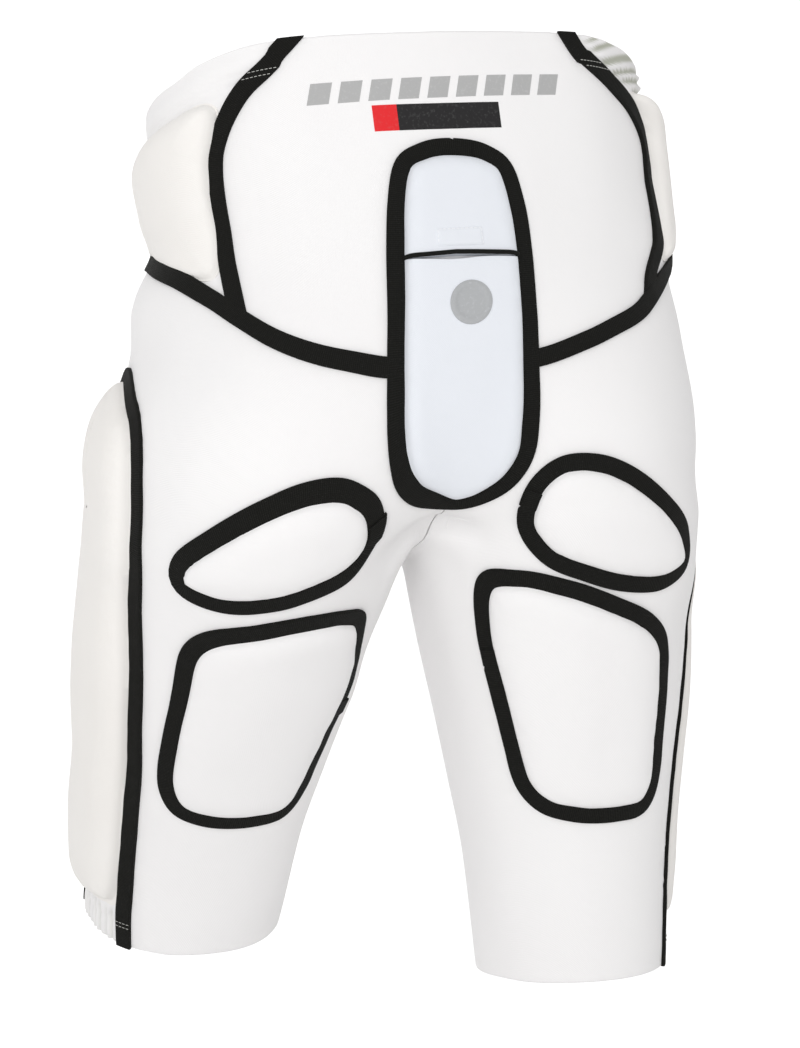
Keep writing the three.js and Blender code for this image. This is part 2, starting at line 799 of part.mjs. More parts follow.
const hipGrid = (side, gap) => panelGrid(
  (z) => (side < 0 ? -frontSeamAngle(side, z) : rearSeamAngle(side, z)),
  (z) => (side < 0 ? -rearSeamAngle(side, z) : frontSeamAngle(side, z)),
  hipColumns,
  gap,
);
addPiece("back_yoke", clothWall(backGrid(seamGap), false, waistThickness), colours.shell, 0.75);
addPiece("front_yoke", clothWall(frontGrid(seamGap), false, waistThickness), colours.shell, 0.75);
for (const [name, side] of sides) {
  const wall = clothWall(hipGrid(side, seamGap), false, waistThickness);
  addPiece(`hip_panel_${name}`, wall, colours.cream, 0.75);
}

// What is sewn on the shell is trimmed clear of it: the same walls, thicker and overlapping at the seams
const underlay = [];
const underlayReach = 34; // how deep a pad's underside may lie in the body
const underlayDepth = () => underlayReach;
const underlayOverlap = 1.8;
const underlayMargin = 0.75 * clearance;
for (const [, side] of sides) {
  underlay.push(clothWall(legGrid(side, -underlayOverlap), true, underlayDepth, underlayMargin));
  underlay.push(clothWall(hipGrid(side, -underlayOverlap), false, underlayDepth, underlayMargin));
}
underlay.push(clothWall(backGrid(-underlayOverlap), false, underlayDepth, underlayMargin));
underlay.push(clothWall(frontGrid(-underlayOverlap), false, underlayDepth, underlayMargin));
const underlaySolids = underlay.map(solidOf);
function addPad(name, geometry, colour, ...cutters) {
  addPiece(name, cut(geometry, ...cutters, ...underlaySolids), colour, 0.7);
}
function addTape(name, geometry, ...cutters) {
  addPiece(name, cut(geometry, ...cutters, ...underlaySolids), colours.tape, 0.8);
}

// Tape and pad of the tailbone, the pad cut in two by its pocket slit
const tailboneMiddle = -(tailboneTop + tailboneLength / 2);
function tailbonePlace(a, b) {
  const [across, up] = wornShare("tailbone", a, b);
  return backPoint(across * tailboneHalfWidth, tailboneMiddle + (up * tailboneLength) / 2);
}
const tailboneLine = smoothLine(tailboneLoop, tailbonePlace, tailbonePoints, true);
addTape("tailbone_tape", tapeStrip(tailboneLine, true));
const tailboneOutline = insetLine(tailboneLine, padInset, (p) => vector(0, p.y, tailboneMiddle));
const tailboneSpine = (p) => {
  const reach = 1 - tailboneHalfWidth / (tailboneLength / 2);
  return tailbonePlace(0, clamp((p.z - tailboneMiddle) / (tailboneLength / 2), -reach, reach));
};
const tailbonePad = cushion(tailboneOutline, tailboneSpine, backFlat, tailbonePadThickness);
const slit = -(tailboneTop + flapLength);
const aboveSlit = solidOf(levelBlock(slit - slitHeight / 2, 2 * waistRiseBack));
const belowSlit = solidOf(levelBlock(-hemDrop, slit + slitHeight / 2));
addPad("tailbone_flap", tailbonePad, colours.cool, belowSlit);
addPad("tailbone_pouch", tailbonePad, colours.cool, aboveSlit);

// Tape and pad of the seat and of the back of the thigh
for (const [name, side] of sides) {
  const seatPlace = (a, b) => {
    const [across, up] = wornShare(`seat_${name}`, a, b);
    return backPoint(
      side * (seatLoopOffset + across * seatLoopHalfWidth),
      -seatLoopDrop + up * seatLoopHalfHeight,
    );
  };
  const seatLine = smoothLine(seatLoop, seatPlace, seatPoints, true);
  const seatMiddle = seatPlace(0, 0);
  const seatOutline = insetLine(seatLine, padInset, () => seatMiddle.clone());
  const seatPad = cushion(seatOutline, () => seatMiddle.clone(), backFlat, seatPadThickness);
  addTape(`seat_tape_${name}`, tapeStrip(seatLine, true));
  addPad(`seat_pad_${name}`, seatPad, colours.shell);

  const thighPlace = (a, b) => {
    const [across, up] = wornShare(`thigh_${name}`, a, b);
    return legPoint(
      side,
      thighLoopAngle + across * thighLoopHalfAngle,
      -thighLoopDrop + up * thighLoopHalfHeight,
    );
  };
  const firstColumn = thighColumns.indexOf(name);
  const thighShares = thighLoop.map((row) => row.slice(firstColumn, firstColumn + 2));
  const thighLine = smoothLine(thighShares, thighPlace, thighPoints, true);
  const thighSpine = (p) => thighPlace(0, clamp((p.z + thighLoopDrop) / thighLoopHalfHeight, -0.5, 0.5));
  const thighOutline = insetLine(thighLine, padInset, thighSpine);
  const thighPad = cushion(thighOutline, thighSpine, backFlat, thighPadThickness);
  addTape(`thigh_tape_${name}`, tapeStrip(thighLine, true));
  addPad(`thigh_pad_${name}`, thighPad, colours.shell);
}

// Arch of tape and long pad at the side of each thigh
for (const [name, side] of sides) {
  const archEnd = (hemDrop - sideTapeHemMargin - sideLoopTop) / rise;
  const firstColumn = sideColumns.indexOf(name);
  const arch = sideArch.map((row) => row.slice(firstColumn, firstColumn + 2));
  const shares = [[-1, archEnd], ...arch, [1, archEnd]];
  const place = (a, down) => legPoint(
    side,
    sideLoopAngle + a * sideLoopHalfAngle,
    -sideLoopTop - down * rise,
  );
  const line = smoothLine(shares, place, sideTapePoints, false);
  addTape(`side_tape_${name}`, tapeStrip(line, false));

  const foot = hemDrop - sidePadHemMargin;
  const footShare = (foot - sideLoopTop) / rise;
  const footShares = sidePadFoot.map(([out, up]) => [out, footShare - up]);
  const loop = smoothLine([...arch, ...footShares], place, sidePadPoints, true);
  const spine = (p) => legPoint(
    side,
    sideLoopAngle,
    clamp(p.z, -foot + sidePadEndReach, -sideLoopTop - sidePadEndReach),
  );
  const outline = insetLine(loop, padInset, spine);
  addPad(`side_pad_${name}`, cushion(outline, spine, sideFlat, sidePadThickness), colours.cream);
}

// Pad of the hip, filling its panel below the waist band
for (const [name, side] of sides) {
  const place = (u, v) => {
    const margin = arcAngle(hipPadSideInset);
    let z = 0;
    let angle = 90;
    for (let pass = 0; pass < passes; pass += 1) {
      angle = mix(rearSeamAngle(side, z) + margin, frontSeamAngle(side, z) - margin, u);
      z = mix(waistHeight(angle) - waistBand, yokeHeight(side * angle) + hipPadFootInset, v);
    }
    return trunkPoint(side * angle, z);
  };
  const outline = [];
  for (let k = 0; k < hipPadPoints; k += 1) {
    const turn = (2 * Math.PI * k) / hipPadPoints;
    const rounded = (value) => Math.sign(value) * Math.pow(Math.abs(value), hipPadRounding);
    outline.push(place(0.5 + 0.5 * rounded(Math.cos(turn)), 0.5 - 0.5 * rounded(Math.sin(turn))));
  }
  const middle = place(hipPadCrest, 0.5);
  const pad = cushion(outline, () => middle.clone(), sideFlat, hipPadThickness);
  addPad(`hip_pad_${name}`, pad, colours.cream);
}

// Tape over the yoke seam and over the upright hip seams, each trimmed where it meets the next
const tailboneCutter = solidOf(tapeStrip(tailboneLine, true, clearance));
for (const [name, side] of sides) {
  const line = [];
  for (let k = 0; k <= yokeTapePoints; k += 1) {
    const angle = mix(yokeTapeStart, 180 - arcAngle(seamGap / 2), k / yokeTapePoints);
    line.push(trunkPoint(side * angle, yokeHeight(side * angle)));
  }
  const tape = tapeStrip(line, false);
  const yokeCutter = solidOf(tapeStrip(line, false, clearance));
  addTape(`yoke_tape_${name}`, tape, tailboneCutter);
  const seams = [
    ["rear_hip_tape", rearSeamAngle],
    ["front_hip_tape", frontSeamAngle],
  ];
  for (const [label, angleAt] of seams) {
    const upright = [];
    for (let k = 0; k <= hipTapePoints; k += 1) {
      let z = 0;
      for (let pass = 0; pass < passes; pass += 1) {
        const angle = angleAt(side, z);
        z = mix(waistHeight(angle) - hipTapeMargin, yokeHeight(side * angle), k / hipTapePoints);
      }
      upright.push(trunkPoint(side * angleAt(side, z), z));
    }
    addTape(`${label}_${name}`, tapeStrip(upright, false), yokeCutter);
  }
}

// Round badge on the pouch
const badgeRadius = badgeDiameter / 2;
const badgeLift = clearance + tailbonePadThickness + clearance + badgeThickness / 2;
const badgeEdges = [-badgeRadius, badgeRadius].map((x) => {
  const seat = backPoint(x, -badgeDrop);
  return seat.addScaledVector(outward(seat).normalize(), badgeLift);
});
const badgePlace = badgeEdges[0].add(badgeEdges[1]).multiplyScalar(0.5);
const badgeFace = outward(backPoint(0, -badgeDrop)).normalize();
const badge = new THREE.CylinderGeometry(badgeRadius, badgeRadius, badgeThickness, badgePoints);
addPiece("tailbone_badge", badge, colours.badge, 0.5);
const badgeMesh = group.children[group.children.length - 1];
badgeMesh.position.copy(stride(badgePlace));
badgeMesh.quaternion.setFromUnitVectors(vector(0, 1, 0), badgeFace);

export default group;
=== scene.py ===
import bmesh
import bpy
import numpy as np
from mathutils import Matrix


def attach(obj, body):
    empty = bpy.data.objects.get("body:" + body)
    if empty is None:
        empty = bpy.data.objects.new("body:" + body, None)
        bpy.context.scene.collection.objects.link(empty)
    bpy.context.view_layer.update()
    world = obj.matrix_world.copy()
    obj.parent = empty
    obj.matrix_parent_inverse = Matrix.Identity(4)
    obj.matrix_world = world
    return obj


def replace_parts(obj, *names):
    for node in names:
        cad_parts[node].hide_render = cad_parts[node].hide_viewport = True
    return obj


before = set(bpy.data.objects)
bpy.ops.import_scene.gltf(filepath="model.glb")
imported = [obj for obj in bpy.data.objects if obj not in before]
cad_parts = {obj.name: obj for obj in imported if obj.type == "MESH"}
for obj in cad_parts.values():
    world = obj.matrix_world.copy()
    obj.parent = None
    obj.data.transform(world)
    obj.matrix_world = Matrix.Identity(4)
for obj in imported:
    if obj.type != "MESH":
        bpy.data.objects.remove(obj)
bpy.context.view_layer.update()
mm = 0.001

# the form that the shell is stretched over
form = {
    "rise": 266, "waistHalfWidth": 143, "hipHalfWidth": 165, "waistBackDepth": 97, "seatDepth": 112,
    "bellyDepth": 98, "trunkCornerPower": 2.35, "trunkFloorLift": 4, "trunkBlend": 26, "crotchBlend": 7,
    "inseam": 254, "thighHalfWidth": 85.5, "hemRadius": 57, "legOffset": 88, "legSplay": 22,
    "legForward": 30, "legCornerPower": 2.1,
    "waistRiseBack": 22, "waistDropFront": 10, "yokeDropBack": 160, "yokeDropSide": 86,
    "yokeDropFront": 68, "yokeSagLeft": 5, "hipSeamAngle": 68,
    "hipJointDrop": 200, "hipJointForward": -5, "strideBlend": 60, "strideFree": 70,
    "kneeLift": 20, "kneeLiftDrop": 130, "kneeLiftHeight": 150,
    "legTwist": 13, "legTwistDrop": 230, "legTwistHeight": 110,
    "pelvisTilt": 0.055, "pelvisTiltDrop": 220, "pelvisTiltHeight": 120,
    "pelvisSway": 9, "pelvisSwayDrop": 95, "pelvisSwayReach": 160,
}
hemDrop = form["rise"] + form["inseam"]


# smooth curves through a table's rows, read by column name
def curveTable(columns, rows):
    rows = np.array(sorted(rows), float)
    places = rows[:, 0]
    order = np.arange(len(rows))
    before, after = np.maximum(order - 1, 0), np.minimum(order + 1, len(rows) - 1)
    slopes = (rows[after] - rows[before]) / (places[after] - places[before])[:, None]

    def read(place, name):
        c = columns.index(name)
        x = np.clip(place, places[0], places[-1])
        i = np.clip(np.searchsorted(places, x, side="right") - 1, 0, len(places) - 2)
        span = places[i + 1] - places[i]
        t = (x - places[i]) / span
        value = rows[i, c] * (1 - t) ** 2 * (1 + 2 * t) + rows[i + 1, c] * t * t * (3 - 2 * t)
        return value + slopes[i, c] * span * t * (1 - t) ** 2 - slopes[i + 1, c] * span * t * t * (1 - t)

    return read


trunkShape = curveTable(["height", "hips", "back", "front"], [
    (0.23, 0.14, -0.05, 0.94), (0.0, 0.0, 0.0, 0.94), (-0.19, 0.0, 0.2, 0.98), (-0.32, 0.23, 0.53, 1.0),
    (-0.43, 0.59, 0.8, 1.0), (-0.545, 0.91, 1.0, 0.99), (-0.715, 1.0, 0.87, 0.94),
    (-0.865, -0.14, -0.33, 0.8), (-0.985, -2.85, -3.1, 0.45),
])
legShape = curveTable(["height", "outwards", "forwards", "thigh", "hem", "back", "front"], [
    (0.65, -0.45, -0.2, 0.468, 0.0, 1.5, 1.25), (0.46, -0.36, -0.2, 0.772, 0.0, 1.36, 1.12),
    (0.26, -0.18, -0.2, 0.982, 0.0, 1.26, 1.05), (0.1, -0.09, -0.13, 1.018, 0.0, 1.17, 1.01),
    (0.0, 0.0, -0.07, 1.0, 0.0, 1.1, 0.98), (-0.13, 0.18, 0.1, 0.84, 0.18, 1.05, 0.976),
    (-0.33, 0.45, 0.33, 0.6, 0.42, 1.01, 1.0), (-0.53, 0.64, 0.57, 0.36, 0.65, 1.0, 1.0),
    (-0.72, 0.82, 0.77, 0.14, 0.87, 1.0, 1.0), (-1.0, 1.0, 1.0, 0.0, 1.0, 1.0, 1.0),
])
waistShape = curveTable(["angle", "back", "front"], [
    (0, 1.0, 0.0), (42, 1.0, 0.0), (55, 0.91, 0.0), (66, 0.68, 0.0), (74, 0.41, 0.0), (93, 0.09, 0.0),
    (120, 0.0, 0.5), (150, 0.0, 0.9), (180, 0.0, 1.0),
])
yokeShape = curveTable(["angle", "back", "side", "front", "sag"], [
    (0, 1.0, 0.0, 0.0, 0.0), (20, 0.985, 0.015, 0.0, 0.0), (33, 0.865, 0.135, 0.0, 0.68),
    (40, 0.777, 0.223, 0.0, 1.0), (47.5, 0.67, 0.33, 0.0, 0.94), (55, 0.53, 0.47, 0.0, 0.6),
    (63, 0.39, 0.61, 0.0, -0.04), (74, 0.216, 0.784, 0.0, -0.64), (92, 0.0, 1.0, 0.0, -0.2),
    (120, 0.0, 0.45, 0.55, 0.0), (150, 0.0, 0.1, 0.9, 0.0), (180, 0.0, 0.0, 1.0, 0.0),
])
hipSeamShape = curveTable(["drop", "left", "right"], [
    (-0.1, 0.6, 0.59), (-0.045, 0.699, 0.652), (-0.023, 0.74, 0.696), (0.01, 0.812, 0.783),
    (0.053, 0.872, 0.896), (0.1, 0.917, 0.983), (0.143, 0.942, 1.011), (0.207, 0.945, 0.981),
    (0.3, 0.918, 0.941), (0.365, 0.891, 0.899), (0.436, 0.845, 0.82), (0.5, 0.8, 0.76),
])


def eased(t):
    t = np.clip(t, 0, 1)
    return t * t * (3 - 2 * t)


def mixed(a, b, t):
    return a + (b - a) * t


def vectors(x, y, z):
    return np.stack(np.broadcast_arrays(np.asarray(x, float), y, z), -1)


def unit(v):
    return v / np.maximum(np.linalg.norm(v, axis=-1, keepdims=True), 1e-9)


def hump(t):
    return np.exp(-t ** 2)


# length run along a line of points, and the line read at such lengths
def runAlong(line):
    return np.concatenate([[0], np.cumsum(np.linalg.norm(np.diff(line, axis=0), axis=1))])


def readLine(line, run, at):
    return np.stack([np.interp(at, run, line[:, k]) for k in range(3)], -1)


def asFaces(rows):
    return [tuple(row) for row in rows.tolist()]


def legSection(z):
    h = (z + form["rise"]) / form["inseam"]
    half = form["thighHalfWidth"] * legShape(h, "thigh") + form["hemRadius"] * legShape(h, "hem")
    across = form["legOffset"] + form["legSplay"] * legShape(h, "outwards")
    forward = form["legForward"] * legShape(h, "forwards")
    return across, forward, half, half * legShape(h, "back"), half * legShape(h, "front")


def roundedSection(x, y, half, back, front, power):
    depth = np.where(y < 0, back, front)
    reach = np.abs(x / half) ** power + np.abs(y / depth) ** power
    return ((reach + 1e-12) ** (1 / power) - 1) * np.minimum(half, depth)


def smoothUnion(a, b, blend):
    h = np.clip(0.5 + 0.5 * (b - a) / blend, 0, 1)
    return b * (1 - h) + a * h - blend * h * (1 - h)


# below zero inside the form
def formField(p):
    x, y, z = p[..., 0], p[..., 1], p[..., 2]
    h = z / form["rise"]
    half = mixed(form["waistHalfWidth"], form["hipHalfWidth"], trunkShape(h, "hips"))
    back = mixed(form["waistBackDepth"], form["seatDepth"], trunkShape(h, "back"))
    front = form["bellyDepth"] * trunkShape(h, "front")
    trunk = roundedSection(x, y, half, back, front, form["trunkCornerPower"])
    trunk = -smoothUnion(-trunk, z + form["rise"] - form["trunkFloorLift"], form["trunkBlend"] / 2)
    across, forward, legHalf, legBack, legFront = legSection(z)
    right = roundedSection(x - across, y - forward, legHalf, legBack, legFront, form["legCornerPower"])
    left = roundedSection(x + across, y - forward, legHalf, legBack, legFront, form["legCornerPower"])
    return smoothUnion(trunk, smoothUnion(right, left, form["crotchBlend"]), form["trunkBlend"])


def slopeAt(p):
    reach = 0.5
    steps = np.eye(3) * reach
    return np.stack([formField(p + s) - formField(p - s) for s in steps], -1) / (2 * reach)


def outward(p):
    return unit(slopeAt(p))


# moves points along the slope until they lie on the form
def settle(start, passes=6):
    p = np.array(start, float)
    for _ in range(passes):
        slope = slopeAt(p)
        step = np.clip(-formField(p) / (slope ** 2).sum(-1), -12, 12)
        p = p + slope * step[..., None]
    return p


# first crossing of the form from inside it along level directions
def cast(start, direction):
    start, direction = np.broadcast_arrays(start, direction)
    pace = 8
    inside = np.zeros(start.shape[:-1])
    done = np.zeros(start.shape[:-1], bool)
    for _ in range(40):
        ahead = formField(start + direction * (inside + pace)[..., None]) >= 0
        done |= ahead
        if done.all():
            break
        inside = np.where(done, inside, inside + pace)
    outside = inside + pace
    for _ in range(18):
        middle = (inside + outside) / 2
        isIn = formField(start + direction * middle[..., None]) < 0
        inside, outside = np.where(isIn, middle, inside), np.where(isIn, outside, middle)
    return start + direction * inside[..., None]


def trunkPoint(angle, z):
    turn = np.radians(angle)
    return cast(vectors(0, 0, z), vectors(np.sin(turn), -np.cos(turn), 0 * turn))


def backPoint(x, z):
    return cast(vectors(x, 0, z), np.array((0, -1.0, 0)))


def legPoint(side, angle, z):
    across, forward, *_ = legSection(np.asarray(z, float))
    turn = np.radians(angle)
    return cast(vectors(side * across, forward, z), vectors(side * np.sin(turn), -np.cos(turn), 0 * turn))


# edge heights and seam angles, angles taken round from the middle of the back
def waistHeight(angle):
    a = np.abs(angle)
    return form["waistRiseBack"] * waistShape(a, "back") - form["waistDropFront"] * waistShape(a, "front")


def yokeHeight(angle):
    a = np.abs(angle)
    drops = form["yokeDropBack"] * yokeShape(a, "back") + form["yokeDropSide"] * yokeShape(a, "side")
    sag = np.where(np.asarray(angle) < 0, form["yokeSagLeft"] * yokeShape(a, "sag"), 0)
    return -drops - form["yokeDropFront"] * yokeShape(a, "front") - sag


def rearSeamAngle(side, z):
    column = "left" if side < 0 else "right"
    return form["hipSeamAngle"] * hipSeamShape(-np.asarray(z, float) / form["rise"], column)


def frontSeamAngle(side, z):
    return 180 - rearSeamAngle(side, z)


# the stride of the display form, the same for every piece
def stride(p):
    x, y, z = p[..., 0], p[..., 1], p[..., 2]
    left = x < 0
    free = eased((-z - form["rise"] + form["trunkFloorLift"]) / form["strideFree"])
    hold = np.where(left, mixed(eased(np.abs(x) / form["strideBlend"]), 1, free), 0)
    legAcross, legForward, *_ = legSection(z)
    twist = np.radians(form["legTwist"]) * eased((-z - form["legTwistDrop"]) / form["legTwistHeight"]) * hold
    across, forward = x + legAcross, y - legForward
    turnedX = np.where(left, -legAcross + across * np.cos(twist) - forward * np.sin(twist), x)
    turnedY = np.where(left, legForward + across * np.sin(twist) + forward * np.cos(twist), y)
    bend = np.radians(form["kneeLift"]) * eased((-z - form["kneeLiftDrop"]) / form["kneeLiftHeight"]) * hold
    ahead, above = turnedY - form["hipJointForward"], z + form["hipJointDrop"]
    sway = form["pelvisSway"] * eased(1 - np.abs(z + form["pelvisSwayDrop"]) / form["pelvisSwayReach"])
    tilt = form["pelvisTilt"] * x * eased((z + form["pelvisTiltDrop"]) / form["pelvisTiltHeight"])
    return vectors(
        turnedX + sway,
        form["hipJointForward"] + ahead * np.cos(bend) - above * np.sin(bend),
        -form["hipJointDrop"] + ahead * np.sin(bend) + above * np.cos(bend) + tilt,
    )


# how the worn cloth stands off the form where it is stuffed or slack: moves across the photographed view,
# from nothing at start to the whole push at full, between two heights, for points short of limit;
# and lifts of the left hem and of the notch between the legs
fullness = {
    "columns": ("start", "full", "low", "high", "soft", "push", "limit"), "turn": -17.5,
    "rows": [
        (-60, -130, -92, 90, 25, -2.0, 0), (-90, -145, -150, -78, 34, -7.5, 0),
        (126, 158, -112, 90, 26, 5.4, 999), (-150, -185, -310, -200, 40, 1.8, 0),
        (-150, -185, -520, -365, 45, -2.8, 0), (-125, -75, -620, -305, 45, 5.2, 0),
        (120, 165, -312, -212, 34, 3.6, 999),
    ],
    "hemLift": 3.2, "hemFrom": 400, "hemOver": 80, "hemOut": 80, "hemOutOver": 60,
    "crotchLift": 12.0, "crotchFrom": 222, "crotchOver": 40, "crotchEnd": 345, "crotchEndOver": 75,
    "crotchBack": 88, "crotchBackOver": 22, "crotchHalfWidth": 32,
}


def asWorn(p):
    turn = np.radians(fullness["turn"])
    right = np.array((np.cos(turn), np.sin(turn), 0))
    u, z = p @ right, p[..., 2]
    total = np.zeros(u.shape)
    for row in fullness["rows"]:
        r = dict(zip(fullness["columns"], row))
        window = eased((z - r["low"]) / r["soft"]) * eased((r["high"] - z) / r["soft"])
        total += r["push"] * eased((u - r["start"]) / (r["full"] - r["start"])) * window * (u < r["limit"])
    f = fullness
    lift = f["hemLift"] * eased((-z - f["hemFrom"]) / f["hemOver"])
    lift = lift * eased((-u - f["hemOut"]) / f["hemOutOver"])
    notch = eased((-z - f["crotchFrom"]) / f["crotchOver"]) * eased((z + f["crotchEnd"]) / f["crotchEndOver"])
    notch = notch * eased((p[..., 1] + f["crotchBack"]) / f["crotchBackOver"])
    notch = notch * hump(p[..., 0] / f["crotchHalfWidth"])
    return p + total[..., None] * right + vectors(0, 0, lift + f["crotchLift"] * notch)


# even, seeded noise from a few sine waves; size is the length of a wave
def softNoise(p, size, seed, stretch=(1, 1, 1)):
    draw = np.random.default_rng(seed)
    total = np.zeros(p.shape[:-1])
    for _ in range(7):
        direction = unit(draw.normal(size=3)) * draw.uniform(0.6, 1.5) * 2 * np.pi / size
        total += np.sin((p / np.array(stretch)) @ direction + draw.uniform(0, 6.3))
    return total / 3.0


# meshes
def makePiece(name, points, faces, material, attributes=None, sharpAngle=50):
    mesh = bpy.data.meshes.new(name)
    mesh.from_pydata((asWorn(stride(points)) * mm).tolist(), [], faces)
    for label, values in (attributes or {}).items():
        isVector = np.ndim(values) > 1
        layer = mesh.attributes.new(label, "FLOAT_VECTOR" if isVector else "FLOAT", "POINT")
        layer.data.foreach_set("vector" if isVector else "value", np.asarray(values, np.float32).ravel())
    work = bmesh.new()
    work.from_mesh(mesh)
    bmesh.ops.recalc_face_normals(work, faces=work.faces)
    work.to_mesh(mesh)
    work.free()
    mesh.shade_smooth()
    mesh.set_sharp_from_angle(angle=np.radians(sharpAngle))
    mesh.materials.append(material)
    piece = bpy.data.objects.new(name, mesh)
    bpy.context.scene.collection.objects.link(piece)
    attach(piece, "root")
    return piece


def gridQuads(rowCount, columnCount, ringRows=False, ringColumns=False):
    i, j = np.meshgrid(
        np.arange(rowCount if ringRows else rowCount - 1),
        np.arange(columnCount if ringColumns else columnCount - 1),
        indexing="ij",
    )
    below, beside = (i + 1) % rowCount, (j + 1) % columnCount
    corners = [(i, j), (i, beside), (below, beside), (below, j)]
    return np.stack([row * columnCount + column for row, column in corners], -1).reshape(-1, 4)


# rings of points, one after the other, with both ends closed
def tubeFaces(count, around):
    ends = [tuple(range(around)), tuple((count - 1) * around + k for k in range(around))]
    return asFaces(gridQuads(count, around, False, True)) + ends


def evenly(points, pace, ring):
    line = np.vstack([points, points[:1]]) if ring else points
    run = runAlong(line)
    count = max(int(round(run[-1] / pace)), 4)
    at = np.linspace(0, run[-1], count + 1)
    even = readLine(line, run, at)
    return even[:-1] if ring else even


# centripetal curve through a table of shares
def smoothShares(shares, ring, steps=12):
    knots = np.array(shares, float)
    if ring:
        knots = np.vstack([knots[-1:], knots, knots[:2]])
    else:
        knots = np.vstack([2 * knots[0] - knots[1], knots, 2 * knots[-1] - knots[-2]])
    out = []
    for a, b, c, d in zip(knots[:-3], knots[1:-2], knots[2:-1], knots[3:]):
        t0 = 0.0
        t1 = t0 + np.linalg.norm(b - a) ** 0.5
        t2 = t1 + np.linalg.norm(c - b) ** 0.5
        t3 = t2 + np.linalg.norm(d - c) ** 0.5
        t = np.linspace(t1, t2, steps, endpoint=False)[:, None]
        ab = (t1 - t) / (t1 - t0) * a + (t - t0) / (t1 - t0) * b
        bc = (t2 - t) / (t2 - t1) * b + (t - t1) / (t2 - t1) * c
        cd = (t3 - t) / (t3 - t2) * c + (t - t2) / (t3 - t2) * d
        abc = (t2 - t) / (t2 - t0) * ab + (t - t0) / (t2 - t0) * bc
        bcd = (t3 - t) / (t3 - t1) * bc + (t - t1) / (t3 - t1) * cd
        out.append((t2 - t) / (t2 - t1) * abc + (t - t1) / (t2 - t1) * bcd)
    if not ring:
        out.append(knots[-2:-1])
    return np.vstack(out)


def smoothLine(shares, place, pace, ring):
    raw = smoothShares(shares, ring)
    return settle(evenly(place(raw[:, 0], raw[:, 1]), pace, ring))


# distance of points from lines of points, and the nearest point's place
def nearest(points, line):
    flat = points.reshape(-1, 3)
    found, place = np.empty(len(flat)), np.empty(len(flat), int)
    for k in range(0, len(flat), 4000):
        gaps = np.linalg.norm(flat[k:k + 4000, None] - line[None], axis=2)
        place[k:k + 4000] = gaps.argmin(1)
        found[k:k + 4000] = gaps.min(1)
    return found.reshape(points.shape[:-1]), place.reshape(points.shape[:-1])


# the tape lines
loops = {
    "tailboneHalfWidth": 39, "tailboneTop": 42, "tailboneLength": 193, "flapLength": 61,
    "seatOffset": 94, "seatDrop": 242, "seatHalfWidth": 50, "seatHalfHeight": 30,
    "thighAngle": -4, "thighHalfAngle": 42.5, "thighDrop": 348.5, "thighHalfHeight": 69.5,
    "sideAngle": 95, "sideHalfAngle": 35, "sideTop": 152, "sidePadHemMargin": 26, "sidePadEndReach": 35,
    "pace": 2.4,
}
tailboneLoop = [
    (0.0, 0.975), (0.46, 0.945), (0.71, 0.86), (0.81, 0.66), (0.865, 0.4), (0.9, 0.13), (0.96, -0.22),
    (1.02, -0.53), (1.01, -0.71), (0.87, -0.845), (0.54, -0.955), (0.09, -1.0), (-0.26, -0.955),
    (-0.56, -0.865), (-0.78, -0.745), (-0.92, -0.55), (-0.975, -0.22), (-0.97, 0.13), (-0.95, 0.4),
    (-0.89, 0.66), (-0.76, 0.86), (-0.46, 0.945),
]
seatLoop = [
    (-1.0, 0.07), (-0.92, 0.7), (-0.64, 1.0), (-0.24, 1.0), (0.2, 0.77), (0.66, 0.3), (0.98, -0.23),
    (1.0, -0.73), (0.68, -1.0), (0.2, -0.97), (-0.32, -0.75), (-0.74, -0.47),
]
thighLoop = {
    "left": [
        (-0.57, 0.95), (-0.24, 0.96), (0.24, 0.88), (0.66, 0.77), (0.85, 0.61), (0.95, 0.26),
        (0.99, -0.24), (0.97, -0.67), (0.81, -0.87), (0.45, -0.97), (-0.09, -1.0), (-0.52, -0.95),
        (-0.67, -0.79), (-0.74, -0.45), (-0.81, 0.05), (-0.85, 0.52), (-0.79, 0.83),
    ],
    "right": [
        (-0.64, 1.06), (-0.24, 1.01), (0.24, 0.88), (0.66, 0.74), (0.87, 0.59), (0.96, 0.26),
        (1.0, -0.24), (1.02, -0.69), (0.86, -0.9), (0.46, -0.98), (-0.09, -1.0), (-0.51, -0.93),
        (-0.72, -0.76), (-0.83, -0.45), (-0.95, 0.05), (-1.03, 0.57), (-0.96, 0.94),
    ],
}
sideArch = {  # across: share of the half angle, down: share of the rise
    "left": [
        (-0.93, 1.05), (-0.91, 0.87), (-0.87, 0.65), (-0.94, 0.48), (-1.04, 0.35), (-0.95, 0.19),
        (-0.8, 0.115), (-0.54, 0.065), (-0.28, 0.025),
    ],
    "right": [
        (-0.91, 1.05), (-0.9, 0.9), (-0.83, 0.71), (-0.62, 0.52), (-0.5, 0.36), (-0.47, 0.22), (-0.42, 0.13),
        (-0.32, 0.07), (-0.18, 0.025),
    ],
    "front": [
        (0.0, 0.0), (0.28, 0.02), (0.54, 0.05), (0.8, 0.1), (0.95, 0.18), (1.0, 0.35),
        (1.02, 0.7), (1.05, 1.05),
    ],
}
sidePadFoot = [(0.94, 0.12), (0.88, 0.03), (0.5, 0.0), (-0.5, 0.0), (-0.88, 0.03), (-0.94, 0.12)]
wornLoops = {  # how each loop lies as worn: across and up shares, turn in degrees, width and height factors
    "tailbone": (-0.058, 0.016, -1.6, 1.024, 1.01),
    "seat_left": (0.045, 0.24, -5.3, 1.03, 0.845), "seat_right": (-0.043, -0.25, 3.1, 0.95, 1.15),
    "thigh_left": (0.207, 0.071, 1.6, 0.962, 1.056), "thigh_right": (-0.085, -0.045, -4.1, 0.94, 0.95),
}
sides = {"left": -1, "right": 1}
tailboneMiddle = -(loops["tailboneTop"] + loops["tailboneLength"] / 2)
slitHeight = -(loops["tailboneTop"] + loops["flapLength"])


